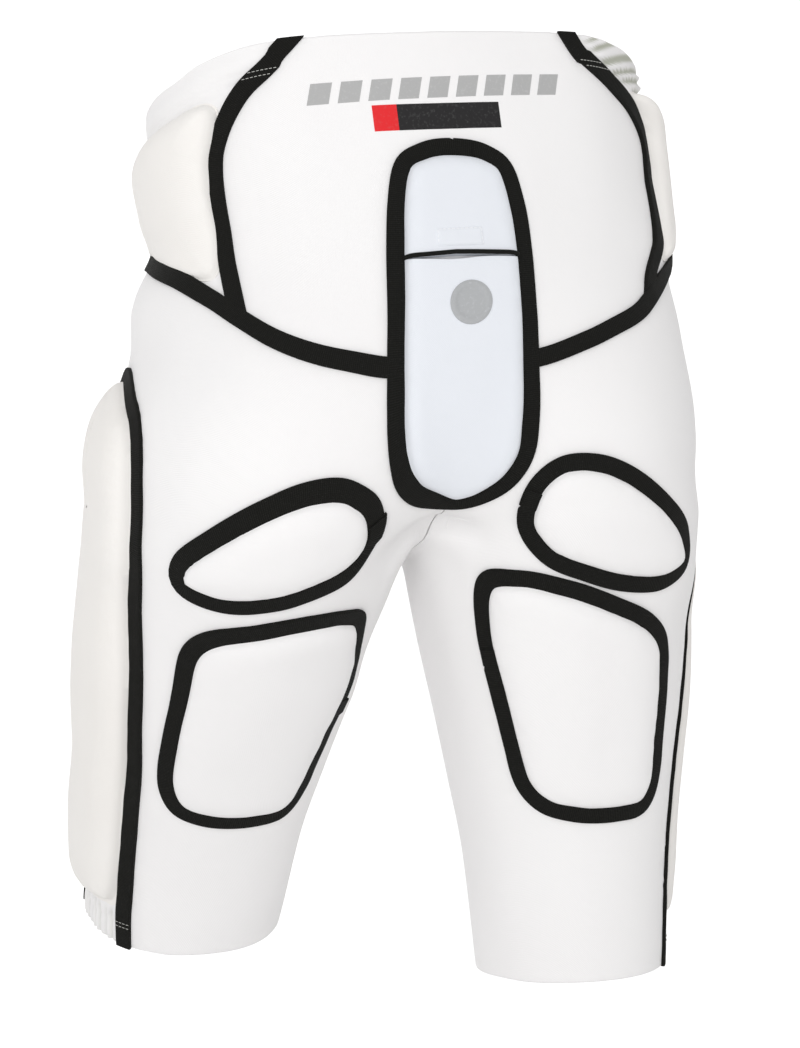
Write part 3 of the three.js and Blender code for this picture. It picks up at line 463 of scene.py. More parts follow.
def wornShare(name, a, b):
    across, up, turn, width, height = wornLoops[name]
    turn = np.radians(turn)
    a, b = a * width, b * height
    return a * np.cos(turn) - b * np.sin(turn) + across, a * np.sin(turn) + b * np.cos(turn) + up


def tailbonePlace(a, b):
    a, b = wornShare("tailbone", a, b)
    return backPoint(a * loops["tailboneHalfWidth"], tailboneMiddle + b * loops["tailboneLength"] / 2)


def seatPlace(name, a, b):
    a, b = wornShare(f"seat_{name}", a, b)
    across = sides[name] * (loops["seatOffset"] + a * loops["seatHalfWidth"])
    return backPoint(across, -loops["seatDrop"] + b * loops["seatHalfHeight"])


def thighPlace(name, a, b):
    a, b = wornShare(f"thigh_{name}", a, b)
    angle = loops["thighAngle"] + a * loops["thighHalfAngle"]
    return legPoint(sides[name], angle, -loops["thighDrop"] + b * loops["thighHalfHeight"])


def sidePlace(name, a, down):
    angle = loops["sideAngle"] + a * loops["sideHalfAngle"]
    return legPoint(sides[name], angle, -loops["sideTop"] - down * form["rise"])


lines = {"tailbone": smoothLine(tailboneLoop, tailbonePlace, loops["pace"], True)}
beyond = 8  # how far a tape's line runs on past the edge it is cut at
pace = loops["pace"]
for name, side in sides.items():
    lines[f"seat_{name}"] = smoothLine(seatLoop, lambda a, b: seatPlace(name, a, b), pace, True)
    lines[f"thigh_{name}"] = smoothLine(thighLoop[name], lambda a, b: thighPlace(name, a, b), pace, True)
    archEnd = (hemDrop + beyond - loops["sideTop"]) / form["rise"]
    arch = [(-1, archEnd), *sideArch[name], *sideArch["front"], (1, archEnd)]
    lines[f"side_{name}"] = smoothLine(arch, lambda a, b: sidePlace(name, a, b), pace, False)
    angles = side * np.linspace(14, 180, 150)
    lines[f"yoke_{name}"] = evenly(trunkPoint(angles, yokeHeight(angles)), pace, False)
    for label, angleAt in (("rearHip", rearSeamAngle), ("frontHip", frontSeamAngle)):
        share = np.linspace(0, 1, 60)
        z = np.zeros(60)
        for _ in range(12):
            angle = angleAt(side, z)
            z = mixed(waistHeight(angle) + beyond, yokeHeight(side * angle), share)
        lines[f"{label}_{name}"] = evenly(trunkPoint(side * angleAt(side, z), z), pace, False)
allTapePoints = np.vstack(list(lines.values()))
print("lines laid out:", len(allTapePoints), "points")


# shader groups
fullTurn = 6.2832


def newGroup(name, inputs, outputs):
    tree = bpy.data.node_groups.new(name, "ShaderNodeTree")
    for label, kind, value in inputs:
        socket = tree.interface.new_socket(label, in_out="INPUT", socket_type=kind)
        if value is not None:
            socket.default_value = value
    for label, kind in outputs:
        tree.interface.new_socket(label, in_out="OUTPUT", socket_type=kind)
    return tree, tree.nodes.new("NodeGroupInput"), tree.nodes.new("NodeGroupOutput")


def addNode(tree, kind, **values):
    node = tree.nodes.new(kind)
    for key, value in values.items():
        setattr(node, key, value)
    return node


def maths(tree, operation, a, b=None, c=None):
    node = addNode(tree, "ShaderNodeMath", operation=operation)
    for k, value in enumerate((a, b, c)):
        if value is None:
            continue
        if isinstance(value, bpy.types.NodeSocket):
            tree.links.new(value, node.inputs[k])
        else:
            node.inputs[k].default_value = value
    return node.outputs[0]


def noiseAt(tree, place, scale, detail=2.0):
    noise = addNode(tree, "ShaderNodeTexNoise", noise_dimensions="3D")
    noise.inputs["Scale"].default_value = scale
    noise.inputs["Detail"].default_value = detail
    tree.links.new(place, noise.inputs["Vector"])
    return noise.outputs[0]


def ownSpace(tree):
    return addNode(tree, "ShaderNodeTexCoord").outputs["Object"]


def blended(tree, share, first, second):
    blend = addNode(tree, "ShaderNodeMix", data_type="RGBA")
    for k, colour in ((6, first), (7, second)):
        if isinstance(colour, bpy.types.NodeSocket):
            tree.links.new(colour, blend.inputs[k])
        else:
            blend.inputs[k].default_value = (*colour, 1)
    tree.links.new(share, blend.inputs[0])
    return blend.outputs[2]


# a value between two limits as a share from 0 to 1
def shareBetween(tree, value, low, high):
    ramp = addNode(tree, "ShaderNodeMapRange")
    ramp.inputs["From Min"].default_value = low
    ramp.inputs["From Max"].default_value = high
    tree.links.new(value, ramp.inputs["Value"])
    return ramp.outputs[0]


def finishShader(tree, shader, colour, height, strength, distance):
    tree.links.new(colour, shader.inputs["Base Color"])
    bump = addNode(tree, "ShaderNodeBump")
    bump.inputs["Strength"].default_value = strength
    bump.inputs["Distance"].default_value = distance
    tree.links.new(height, bump.inputs["Height"])
    tree.links.new(bump.outputs[0], shader.inputs["Normal"])


# knit: a fine lattice of loops in the row's own space, with slubs; height and a soft mottle
def buildKnitGroup():
    tree, given, out = newGroup(
        "knitCloth",
        [("Loop Size", "NodeSocketFloat", 0.0011), ("Slub", "NodeSocketFloat", 0.5)],
        [("Height", "NodeSocketFloat"), ("Mottle", "NodeSocketFloat")],
    )
    place = ownSpace(tree)
    scale = maths(tree, "DIVIDE", fullTurn, given.outputs["Loop Size"])
    scaled = addNode(tree, "ShaderNodeVectorMath", operation="SCALE")
    tree.links.new(place, scaled.inputs[0])
    tree.links.new(scale, scaled.inputs["Scale"])
    parts = addNode(tree, "ShaderNodeSeparateXYZ")
    tree.links.new(scaled.outputs[0], parts.inputs[0])
    x, y, z = parts.outputs
    wales = maths(tree, "SINE", maths(tree, "ADD", x, maths(tree, "MULTIPLY", y, 0.8)))
    lattice = maths(tree, "MULTIPLY", wales, maths(tree, "SINE", z))
    fuzz = maths(tree, "SUBTRACT", noiseAt(tree, place, 420), 0.5)
    slub = maths(tree, "MULTIPLY", fuzz, given.outputs["Slub"])
    tree.links.new(maths(tree, "ADD", maths(tree, "MULTIPLY", lattice, 0.5), slub), out.inputs["Height"])
    tree.links.new(noiseAt(tree, place, 9), out.inputs["Mottle"])
    return tree


knitGroup = buildKnitGroup()


def principled(name, colour, roughness, sheen, shine=0.25):
    material = bpy.data.materials.new(name)
    material.use_nodes = True
    tree = material.node_tree
    shader = tree.nodes["Principled BSDF"]
    shader.inputs["Base Color"].default_value = (*colour, 1)
    shader.inputs["Roughness"].default_value = roughness
    shader.inputs["Sheen Weight"].default_value = sheen
    shader.inputs["Sheen Roughness"].default_value = 0.5
    shader.inputs["Specular IOR Level"].default_value = shine
    return material, tree, shader


clothLooks = {
    "shellCloth": {
        "light": (0.9, 0.893, 0.893), "shade": (0.875, 0.862, 0.864), "loop": 0.0011, "bump": 0.00007,
    },
    "creamCloth": {
        "light": (0.9, 0.882, 0.858), "shade": (0.872, 0.845, 0.812), "loop": 0.0012, "bump": 0.00008,
    },
    "coolCloth": {
        "light": (0.8, 0.825, 0.87), "shade": (0.765, 0.79, 0.84), "loop": 0.0010, "bump": 0.00006,
    },
}
# painted shade: the colour laid deep in the valleys of the gathers
paintedFoldShade = (0.46, 0.47, 0.4)  # deep in the gathers, through the attribute foldShade


def clothMaterial(name):
    look = clothLooks[name]
    material, tree, shader = principled(name, look["light"], 0.78, 0.12)
    knit = addNode(tree, "ShaderNodeGroup", node_tree=knitGroup)
    knit.inputs["Loop Size"].default_value = look["loop"]
    cloth = blended(tree, knit.outputs["Mottle"], look["light"], look["shade"])
    # painted shade in the valleys of the gathers, mixed in by the attribute foldShade
    folds = addNode(tree, "ShaderNodeAttribute", attribute_name="foldShade")
    colour = blended(tree, folds.outputs["Fac"], cloth, paintedFoldShade)
    finishShader(tree, shader, colour, knit.outputs["Height"], 0.6, look["bump"])
    return material


materials = {name: clothMaterial(name) for name in clothLooks}


# tape: ribs across it, a flatter selvage at each edge, greyer on the rib tops as a painted highlight and in
# random specks from the noise
tapeLook = {
    "dark": (0.006, 0.006, 0.005), "ribTopHighlight": (0.016, 0.016, 0.0145),
    "ribPitch": 1.1, "finePitch": 0.9, "bump": 0.00016,
}


def tapeMaterial():
    material, tree, shader = principled("ribbedTape", tapeLook["dark"], 0.85, 0.02, 0.12)
    weave = addNode(tree, "ShaderNodeAttribute", attribute_name="tapeWeave")
    parts = addNode(tree, "ShaderNodeSeparateXYZ")
    tree.links.new(weave.outputs["Vector"], parts.inputs[0])
    ribs = maths(tree, "SINE", maths(tree, "MULTIPLY", parts.outputs["X"], fullTurn / tapeLook["ribPitch"]))
    fine = maths(tree, "SINE", maths(tree, "MULTIPLY", parts.outputs["Y"], fullTurn / tapeLook["finePitch"]))
    lattice = maths(tree, "ADD", maths(tree, "MULTIPLY", ribs, 0.5), maths(tree, "MULTIPLY", fine, 0.25))
    height = maths(tree, "ADD", lattice, noiseAt(tree, ownSpace(tree), 900))
    # painted highlight on the rib tops, with random tone from the noise
    colour = blended(tree, shareBetween(tree, height, 0.2, 1.5), tapeLook["dark"], tapeLook["ribTopHighlight"])
    finishShader(tree, shader, colour, height, 0.8, tapeLook["bump"])
    return material


materials["ribbedTape"] = tapeMaterial()


# thin rubbery print on the cloth, slightly worn through in specks
def printMaterial(name, colour, worn):
    material, tree, shader = principled(name, colour, 0.6, 0.0)
    specks = noiseAt(tree, ownSpace(tree), 650, 3)
    shown = blended(tree, shareBetween(tree, specks, 0.55, 0.8), colour, worn)
    finishShader(tree, shader, shown, specks, 0.4, 0.00005)
    return material


for name, (colour, worn) in {
    "greyPrint": ((0.43, 0.43, 0.43), (0.5, 0.5, 0.5)),
    "charcoalPrint": ((0.016, 0.015, 0.016), (0.05, 0.05, 0.05)),
    "redPrint": ((0.75, 0.02, 0.025), (0.7, 0.06, 0.06)),
    "badgePrint": ((0.42, 0.43, 0.44), (0.5, 0.51, 0.53)),
    "paleThread": ((0.6, 0.6, 0.57), (0.45, 0.45, 0.43)),
    "whiteThread": ((0.86, 0.87, 0.9), (0.8, 0.81, 0.85)),
}.items():
    materials[name] = printMaterial(name, colour, worn)
print("materials ready:", ", ".join(materials))

# the shell
shell = {
    "thickness": 2.0, "hemFold": 3.0, "foldHeight": 18.0, "waistBand": 19.0, "seamGap": 0.9,
    "outerColumns": 104, "innerColumns": 60, "upperRows": 46, "lowerRows": 80, "panelRows": 84,
    "backColumns": 84, "frontColumns": 60, "hipColumns": 92, "thighRingDrop": 300, "ringTurn": 35,
    "riseSeamCentreDrop": 150, "edgeMargin": 1.2,
    "tapeBed": 0.35, "tapeBedAt": 6.5, "tapeBedWidth": 2.4,
    "wrinkle": 0.3, "wrinkleLength": 46, "pucker": 0.12, "puckerLength": 13, "puckerAt": 8,
    "hemPitch": 5.2, "hemLineDrop": 14, "hemLineDepth": 0.7, "hemGatherDepth": 1.0,
    "waistSlope": {"left": 0.35, "right": 2.6}, "waistPitch": {"left": 5.2, "right": 19.0},
    "waistGatherDepth": {"left": 0.3, "right": 1.0},
}
wornIn = [  # small creases that wear has left, on the leg: side, angle, drop, length, turn in degrees, depth
    ("right", 52, 452, 24, 38, 0.5), ("right", 58, 470, 16, -20, 0.35), ("left", -20, 300, 26, 20, 0.25),
]


# how far the outer face of the cloth stands off the form
def shellRelief(p):
    gap, _ = nearest(p, allTapePoints)
    bed = -shell["tapeBed"] * hump((gap - shell["tapeBedAt"]) / shell["tapeBedWidth"])
    calm = eased((gap - 3) / 18)
    wrinkle = shell["wrinkle"] * softNoise(p, shell["wrinkleLength"], 3, (1, 1, 1.6)) * calm
    fine = shell["pucker"] * softNoise(p, shell["puckerLength"], 5) * hump((gap - shell["puckerAt"]) / 7)
    return bed + wrinkle + fine


def creases(name, grid):
    relief = np.zeros(grid.shape[:2])
    for side, angle, drop, length, turn, depth in wornIn:
        if side != name:
            continue
        middle = legPoint(sides[name], np.array(float(angle)), np.array(-float(drop)))
        up = outward(middle)
        level = unit(np.cross((0, 0, 1.0), up))
        steep = np.cross(up, level)
        along = level * np.cos(np.radians(turn)) + steep * np.sin(np.radians(turn))
        away = grid - middle
        run = away @ along
        off = away @ np.cross(up, along)
        near = np.exp(-(run / length * 2) ** 4) * hump((away @ up) / 20)
        relief += near * depth * (hump((off - 2.4) / 1.8) - np.exp(-(off / 1.5) ** 2))
    return relief


# a wall of cloth with rounded edges; grid rows run from the top edge to the foot
def clothPiece(name, grid, thickness, material, ring, relief, keepMiddle=None, foldShade=None):
    rowCount, columnCount = grid.shape[:2]
    up = outward(grid)
    outer = grid + up * relief[..., None]
    inner = grid - up * thickness[..., None]
    if keepMiddle is not None:
        side = keepMiddle
        inner[..., 0] = side * np.maximum(inner[..., 0] * side, shell["seamGap"] / 2)
        outer[..., 0] = side * np.maximum(outer[..., 0] * side, shell["seamGap"] / 2)
    down = unit(grid[-1] - grid[-2])
    rise = unit(grid[0] - grid[1])
    turns = np.radians([30, 90, 150])

    def rim(row, way):
        middle, half = (outer[row] + inner[row]) / 2, (outer[row] - inner[row]) / 2
        width = np.linalg.norm(half, axis=-1, keepdims=True)
        return [middle + half * np.cos(t) + way * width * np.sin(t) for t in turns]

    rows = [*outer, *rim(-1, down), *inner[::-1], *rim(0, rise)[::-1]]
    points = np.array(rows).reshape(-1, 3)
    faces = asFaces(gridQuads(len(rows), columnCount, True, ring))
    if not ring:
        for j in (0, columnCount - 1):
            for i in range(rowCount - 1):
                back = rowCount + 3 + rowCount - 1 - i
                faces.append(tuple(k * columnCount + j for k in (i, i + 1, back - 1, back)))
            foot = list(range(rowCount - 1, rowCount + 4))
            top = list(range(2 * rowCount + 2, 2 * rowCount + 6)) + [0]
            faces.append(tuple(k * columnCount + j for k in foot))
            faces.append(tuple(k * columnCount + j for k in top))
    # painted shade of the gathers on the outer face, for the attribute foldShade
    shade = np.zeros((len(rows), columnCount))
    if foldShade is not None:
        shade[:rowCount] = foldShade
    return makePiece(name, points, faces, material, {"foldShade": shade.ravel()})


def legGrid(side):
    angle = side * np.linspace(0, 180, shell["outerColumns"] + 1)
    top = trunkPoint(angle, yokeHeight(angle) - shell["seamGap"] / 2)
    middle = np.array((0, 0, -shell["riseSeamCentreDrop"]), float)
    front, back = top[-1] - middle, top[0] - middle
    ends = [np.arctan2(end[2], end[1]) for end in (front, back)]
    turn = np.linspace(*ends, shell["innerColumns"] + 1)[1:-1]
    top = np.vstack([top, cast(middle, vectors(0 * turn, np.cos(turn), np.sin(turn)))])
    first, last = -shell["ringTurn"], 180 + shell["ringTurn"]
    outerAngles = np.linspace(first, last, shell["outerColumns"] + 1)
    innerAngles = np.linspace(last, 360 + first, shell["innerColumns"] + 1)[1:-1]
    legAngles = np.concatenate([outerAngles, innerAngles])
    foot = legPoint(side, legAngles, np.full(len(legAngles), -float(shell["thighRingDrop"])))
    rows = []
    for i in range(shell["upperRows"] - 1):
        row = mixed(top, foot, i / shell["upperRows"])
        rows.append(top if i == 0 else settle(row))
    drops = np.linspace(shell["thighRingDrop"], hemDrop - shell["edgeMargin"], shell["lowerRows"] + 1)
    rows += [legPoint(side, legAngles, np.full(len(legAngles), -drop)) for drop in drops]
    grid = np.array(rows)
    for _ in range(10):  # evens out the rows where the two ways of placing them meet
        near = slice(shell["upperRows"] - 9, shell["upperRows"] + 7)
        before, after = slice(near.start - 1, near.stop - 1), slice(near.start + 1, near.stop + 1)
        grid[near] = settle((grid[before] + grid[after]) / 2, 3)
    grid[..., 0] = side * np.maximum(grid[..., 0] * side, shell["seamGap"] / 2)
    return grid, legAngles


# gathers of the elastic strip at the hem, under the side pad, with painted shade in their valleys
def hemGather(p, legAngles):
    inside = eased((loops["sideHalfAngle"] - 5 - np.abs(legAngles - loops["sideAngle"])) / 5)[None, :]
    drop = -p[..., 2]
    strip = eased((drop - (hemDrop - loops["sidePadHemMargin"])) / 6)
    length = np.radians(legAngles) * form["hemRadius"]
    wave = np.sin(2 * np.pi * length / shell["hemPitch"] + 0.9 * np.sin(length / 9))[None, :]
    line = -shell["hemLineDepth"] * hump((drop - (hemDrop - shell["hemLineDrop"])) / 1.6) * inside
    # painted shade in the valleys of the hem gathers
    shade = 0.35 * eased(-wave) * strip * inside
    return shell["hemGatherDepth"] * (wave - 0.6) * strip * inside + line, shade


for name, side in sides.items():
    grid, legAngles = legGrid(side)
    gather, shade = hemGather(grid, legAngles)
    relief = shellRelief(grid) + gather + creases(name, grid)
    fold = eased((grid[..., 2] + hemDrop) / shell["foldHeight"] - 0.5)
    thickness = mixed(shell["hemFold"], shell["thickness"], fold)
    leg = clothPiece(f"leg_cloth_{name}", grid, thickness, materials["shellCloth"], True, relief, side, shade)
    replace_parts(leg, f"leg_{name}")


def arcAngle(length):
    return np.degrees(length / form["waistHalfWidth"])


# rows of points from the waist edge to the yoke seam; angles past 180 come round to the left side
def panelGrid(start, end, columns):
    u = np.linspace(0, 1, columns + 1)[None, :]
    v = np.linspace(0, 1, shell["panelRows"] + 1)[:, None] ** 1.5
    z = np.zeros((shell["panelRows"] + 1, columns + 1))
    for _ in range(12):
        angle = mixed(start(z) + arcAngle(shell["seamGap"] / 2), end(z) - arcAngle(shell["seamGap"] / 2), u)
        around = np.where(angle > 180, angle - 360, angle)
        z = mixed(waistHeight(around) - shell["edgeMargin"], yokeHeight(around) + shell["seamGap"] / 2, v)
    return trunkPoint(angle, z), around, z


def waistThickness(around, z):
    fold = eased((waistHeight(around) - z) / shell["waistBand"] - 0.5)
    return mixed(shell["hemFold"], shell["thickness"], fold)


def addPanel(name, node, start, end, columns, side=None):
    grid, around, z = panelGrid(start, end, columns)
    drop = waistHeight(around) - z
    relief, shade = shellRelief(grid), None
    if side:  # gathered band above the hip pad
        band = 1 - eased((drop - shell["waistBand"] + 3) / 6)
        length = np.radians(np.abs(around)) * form["waistHalfWidth"] + shell["waistSlope"][side] * drop
        unevenness = 1.2 * np.sin(length / 11 + sides[side])
        wave = np.sin(2 * np.pi * length / shell["waistPitch"][side] + unevenness)
        reach = np.abs(around)
        rear, front = rearSeamAngle(sides[side], z), frontSeamAngle(sides[side], z)
        deep = eased((reach - rear - 2) / 6) * eased((front - reach - 3) / 8)
        if side == "left":  # smooth where it was pulled flat, gathered towards the front
            deep = deep * mixed(0.0, 3.0, eased((reach - 88) / 30))
        amount = shell["waistGatherDepth"][side] * band * deep * eased(drop / 5)
        relief = relief + amount * (wave - 0.3) - 1.1 * hump((drop - shell["waistBand"]) / 2.2)
        puffed = 0.9 * hump((drop - 9) / 5) - 0.5 * hump((drop - 14.5) / 1.4)
        relief = relief + puffed * eased((reach - rear) / 8)
        # painted shade in the valleys of the waist gathers
        shade = eased(0.3 - 1.3 * wave) * band * np.minimum(deep, 1) * (shell["waistGatherDepth"][side] > 0.5)
    thickness = waistThickness(around, z)
    panel = clothPiece(name, grid, thickness, materials["shellCloth"], False, relief, None, shade)
    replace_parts(panel, node)


# name, node, first and last angle at a height, columns, side where the panel is gathered
for name, node, start, end, columns, side in (
    ("back_yoke_cloth", "back_yoke",
     lambda z: -rearSeamAngle(-1, z), lambda z: rearSeamAngle(1, z), "backColumns", None),
    ("front_yoke_cloth", "front_yoke",
     lambda z: frontSeamAngle(1, z), lambda z: 360 - frontSeamAngle(-1, z), "frontColumns", None),
    ("hip_cloth_right", "hip_panel_right",
     lambda z: rearSeamAngle(1, z), lambda z: frontSeamAngle(1, z), "hipColumns", "right"),
    ("hip_cloth_left", "hip_panel_left",
     lambda z: -frontSeamAngle(-1, z), lambda z: -rearSeamAngle(-1, z), "hipColumns", "left"),
):
    addPanel(name, node, start, end, shell[columns], side)
print("shell made")

# tapes
tape = {
    "width": 10.0, "top": 1.9, "bottom": -0.4, "lap": 10.0, "lapLift": 0.9, "lapShift": 1.2,
    "tuck": 0.9, "tuckReach": 9.0, "foldLine": 16.5, "foldShift": 1.2, "foldDepth": 0.35,
    "wander": 0.25, "ripple": 0.1,
}
tapeSection = [  # across: share of the half width, up: share from bottom to top
    (-0.97, 0.0), (-1.0, 0.55), (-0.985, 0.82), (-0.93, 0.96), (-0.75, 1.0), (-0.35, 0.985), (0.0, 0.98),
    (0.35, 0.985), (0.75, 1.0), (0.93, 0.96), (0.985, 0.82), (1.0, 0.55), (0.97, 0.0),
]


def pastWaist(p):
    angle = np.degrees(np.arctan2(p[..., 0], -p[..., 1]))
    return p[..., 2] - (waistHeight(angle) + 0.2)


def pastHem(p):
    return -p[..., 2] - (hemDrop - 0.1)


# each thread line of a tape cut where it crosses an edge of the cloth
def cutTracks(tracks, run, over, atStart):
    count = tracks.shape[1]
    order = np.arange(count)
    for k in range(len(tracks)):
        past = over(tracks[k])
        outside = np.nonzero(past > 0)[0]
        outside = outside[outside < count // 2] if atStart else outside[outside > count // 2]
        if len(outside) == 0:
            continue
        if atStart:
            last = outside.max()
            at = np.linspace(last + past[last] / (past[last] - past[last + 1]), count - 1, count)
        else:
            first = outside.min()
            at = np.linspace(0, first - past[first] / (past[first] - past[first - 1]), count)
        tracks[k] = readLine(tracks[k], order, at)
        run[k] = np.interp(at, order, run[k])


def addTape(name, node, line, lapAt=None, tuckStart=False, tuckEnd=False, waistStart=False, hemEnds=False):
    ring = lapAt is not None
    if ring:  # one strip whose end lies over its start
        gaps = np.linalg.norm(line - lapAt, axis=1)
        line = np.roll(line, -int(gaps.argmin()), axis=0)
        lapCount = int(round(tape["lap"] / loops["pace"])) + 1
        line = np.vstack([line, line[:lapCount]])
    run = runAlong(line)
    along = unit(np.gradient(line, axis=0))
    sideways = unit(np.cross(along, outward(line)))
    shift = tape["wander"] * softNoise(line, 60, len(line))
    if ring:
        shift = shift + tape["lapShift"] * eased((run - run[-1] + tape["lap"] + 1.5) / 1.5)
    if waistStart:
        shift = shift + tape["foldShift"] * (1 - eased((run - beyond - tape["foldLine"] + 1) / 2))
    if hemEnds:
        shift = shift - tape["foldShift"] * eased((run - run[-1] + beyond + tape["foldLine"] + 1) / 2)
    across = np.array([a for a, _ in tapeSection])
    offset = across[:, None] * tape["width"] / 2 + shift[None]
    tracks = settle(line[None] + sideways[None] * offset[..., None], 4)
    runs = np.repeat(run[None], len(tapeSection), axis=0)
    if waistStart:
        cutTracks(tracks, runs, pastWaist, True)
    if hemEnds:
        cutTracks(tracks, runs, pastHem, True)
        cutTracks(tracks, runs, pastHem, False)
    lift = tape["ripple"] * softNoise(tracks, 17, 8)
    if ring:
        lift = lift + tape["lapLift"] * eased((runs - run[-1] + tape["lap"] + 2.5) / 2.5)
    if tuckStart:
        lift = lift - tape["tuck"] * (1 - eased(runs / tape["tuckReach"]))
    if tuckEnd:
        lift = lift - tape["tuck"] * (1 - eased((run[-1] - runs) / tape["tuckReach"]))
    if waistStart:
        lift = lift - tape["foldDepth"] * hump((runs - beyond - tape["foldLine"]) / 1.4)
    up = np.array([u for _, u in tapeSection])[:, None]
    height = mixed(tape["bottom"], tape["top"], up) + lift
    points = (tracks + outward(tracks) * height[..., None]).transpose(1, 0, 2)
    weave = vectors(runs, across[:, None] * tape["width"] / 2 + 0 * runs, up + 0 * runs).transpose(1, 0, 2)
    faces = tubeFaces(*points.shape[:2])
    attributes = {"tapeWeave": weave.reshape(-1, 3)}
    made = makePiece(name, points.reshape(-1, 3), faces, materials["ribbedTape"], attributes)
    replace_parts(made, node)


addTape("tailbone_band", "tailbone_tape", lines["tailbone"], tailbonePlace(np.array(-0.02), np.array(1.0)))
laps = {  # shares of the loop where its ends lie over each other
    "seat_left": (-1.0, 0.0), "seat_right": (-0.98, 0.4),
    "thigh_left": (-0.98, -0.05), "thigh_right": (-0.95, 0.3),
}
for name, side in sides.items():
    seatLap = seatPlace(name, *np.array(laps[f"seat_{name}"]))
    thighLap = thighPlace(name, *np.array(laps[f"thigh_{name}"]))
    addTape(f"seat_band_{name}", f"seat_tape_{name}", lines[f"seat_{name}"], seatLap)
    addTape(f"thigh_band_{name}", f"thigh_tape_{name}", lines[f"thigh_{name}"], thighLap)
    addTape(f"side_band_{name}", f"side_tape_{name}", lines[f"side_{name}"], hemEnds=True)
    addTape(f"yoke_band_{name}", f"yoke_tape_{name}", lines[f"yoke_{name}"], tuckStart=True)
    for end in ("rear", "front"):
        line = lines[f"{end}Hip_{name}"]
        addTape(f"{end}_hip_band_{name}", f"{end}_hip_tape_{name}", line, tuckEnd=True, waistStart=True)
print("tapes made")

# pads
pads = {
    "tape": 4.6, "edge": 0.3, "rings": 30, "squareness": 2.3, "under": 0.6,
    "wrinkleLength": 34, "pucker": 0.22, "puckerLength": 8, "puckerAt": 3.5,
    "hip": {"thickness": 12.6, "roll": 19.0, "wrinkle": 0.35, "footTaper": 0.55, "margin": 2.0, "seam": 1.5},
    "side": {
        "thickness": 12.4, "roll": 17.0, "wrinkle": 0.35, "hiddenRoll": 58.0,
        "endTaper": 0.72, "footTaper": 0.9, "endReach": 42.0,
    },
    "seat": {"thickness": 7.6, "roll": 15.0, "wrinkle": 0.25},
    "thigh": {"thickness": 7.0, "roll": 16.0, "wrinkle": 0.25},
    "tailbone": {"thickness": 8.4, "roll": 10.0, "wrinkle": 0.15},
}
# where the right side pad's rear edge lies: down and across shares
sidePadRear = [(0.36, -0.5), (0.52, -0.62), (0.71, -0.83), (0.9, -0.9)]


# height of a pad's cover at a distance in from its outline, almost zero under the tape
def padSwell(inwards, thickness, roll):
    t = np.clip(inwards / roll, 0, 1)
    power = pads["squareness"]
    return pads["edge"] + (thickness - pads["edge"]) * (1 - (1 - t) ** power) ** (1 / power)


# strip of faces across a ring that lies flat along its middle line
def capFaces(first, count):
    faces = []
    for k in range(count // 2):
        corners = list(dict.fromkeys([k, k + 1, count - k - 1, (count - k) % count]))
        if len(corners) > 2:
            faces.append(tuple(first + c for c in corners))
    return faces


# rings of points shrinking from the outline to the pad's middle, swollen above and sunk in the cloth below
def padMesh(outline, middleOf, look, underTape, seed, shapeAt=None):
    outline = np.roll(outline, -int(outline[:, 2].argmax()), axis=0)
    count = len(outline)
    middle = middleOf(outline)
    if np.ptp(middle[:, 2]) > 1:  # the two sides meet at the same places along the spine
        middle = settle((middle + middle[-np.arange(count) % count]) / 2)

    def ringsOf(sizes):
        return np.array([outline if size == 1 else settle(mixed(middle, outline, size)) for size in sizes])

    grid = ringsOf([*(1 - np.linspace(0, 1, pads["rings"] + 1)[:-1] ** 1.5), 0.02])
    gap, _ = nearest(grid, outline)
    inwards = np.maximum(gap - underTape, 0)
    share, roll = shapeAt(grid) if shapeAt else (1.0, look["roll"])
    height = padSwell(inwards, look["thickness"] * share, roll)
    wrinkle = look["wrinkle"] * softNoise(grid, pads["wrinkleLength"], seed, (1, 1, 2.2))
    height = height + wrinkle * eased(inwards / look["roll"]) * share
    pucker = softNoise(grid, pads["puckerLength"], seed + 1)
    pucker = pucker * hump((inwards - pads["puckerAt"]) / pads["puckerAt"])
    height = height + pads["pucker"] * pucker * eased(inwards / 2)
    top = grid + outward(grid) * height[..., None]
    below = ringsOf([0.03, 0.15, 0.4, 0.65, 0.85, 1])
    below = below - outward(below) * pads["under"]
    rows = np.concatenate([below, top])
    faces = asFaces(gridQuads(len(rows), count, False, True))
    return rows.reshape(-1, 3), faces + capFaces(0, count) + capFaces((len(rows) - 1) * count, count)


def finishPad(name, node, mesh, material):
    made = makePiece(name, *mesh, materials[material], sharpAngle=70)
    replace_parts(made, node)


def tailboneSpine(p):
    reach = 1 - 2 * loops["tailboneHalfWidth"] / loops["tailboneLength"]
    b = np.clip((p[:, 2] - tailboneMiddle) / (loops["tailboneLength"] / 2), -reach, reach)
    return tailbonePlace(0 * b, b)


# part of a closed pad above or below a level, the cut closed
def keepPart(points, faces, level, above):
    work = bmesh.new()
    made = [work.verts.new(p) for p in points.tolist()]
    for face in faces:
        work.faces.new([made[k] for k in face])
    geometry = list(work.verts) + list(work.edges) + list(work.faces)
    cut = bmesh.ops.bisect_plane(work, geom=geometry, plane_co=(0, 0, level), plane_no=(0, 0, 1),
                                 clear_outer=not above, clear_inner=above)
    edges = [g for g in cut["geom_cut"] if isinstance(g, bmesh.types.BMEdge)]
    bmesh.ops.holes_fill(work, edges=edges, sides=0)
    bmesh.ops.triangulate(work, faces=[f for f in work.faces if len(f.verts) > 4])
    work.verts.index_update()
    keptPoints = np.array([v.co[:] for v in work.verts])
    keptFaces = [tuple(v.index for v in f.verts) for f in work.faces]
    work.free()
    return keptPoints, keptFaces


# the slit: its edge waves, and the pouch hangs a little open under it
slit = {
    "wave": [(-42, 1.0), (-27, 0.4), (-9, 1.1), (4, 0.5), (26, -0.8), (40, -0.8)],
    "gape": 1.9, "gapeAt": -10, "gapeReach": 13, "falloff": 9, "shadowCordRadius": 1.3,
}


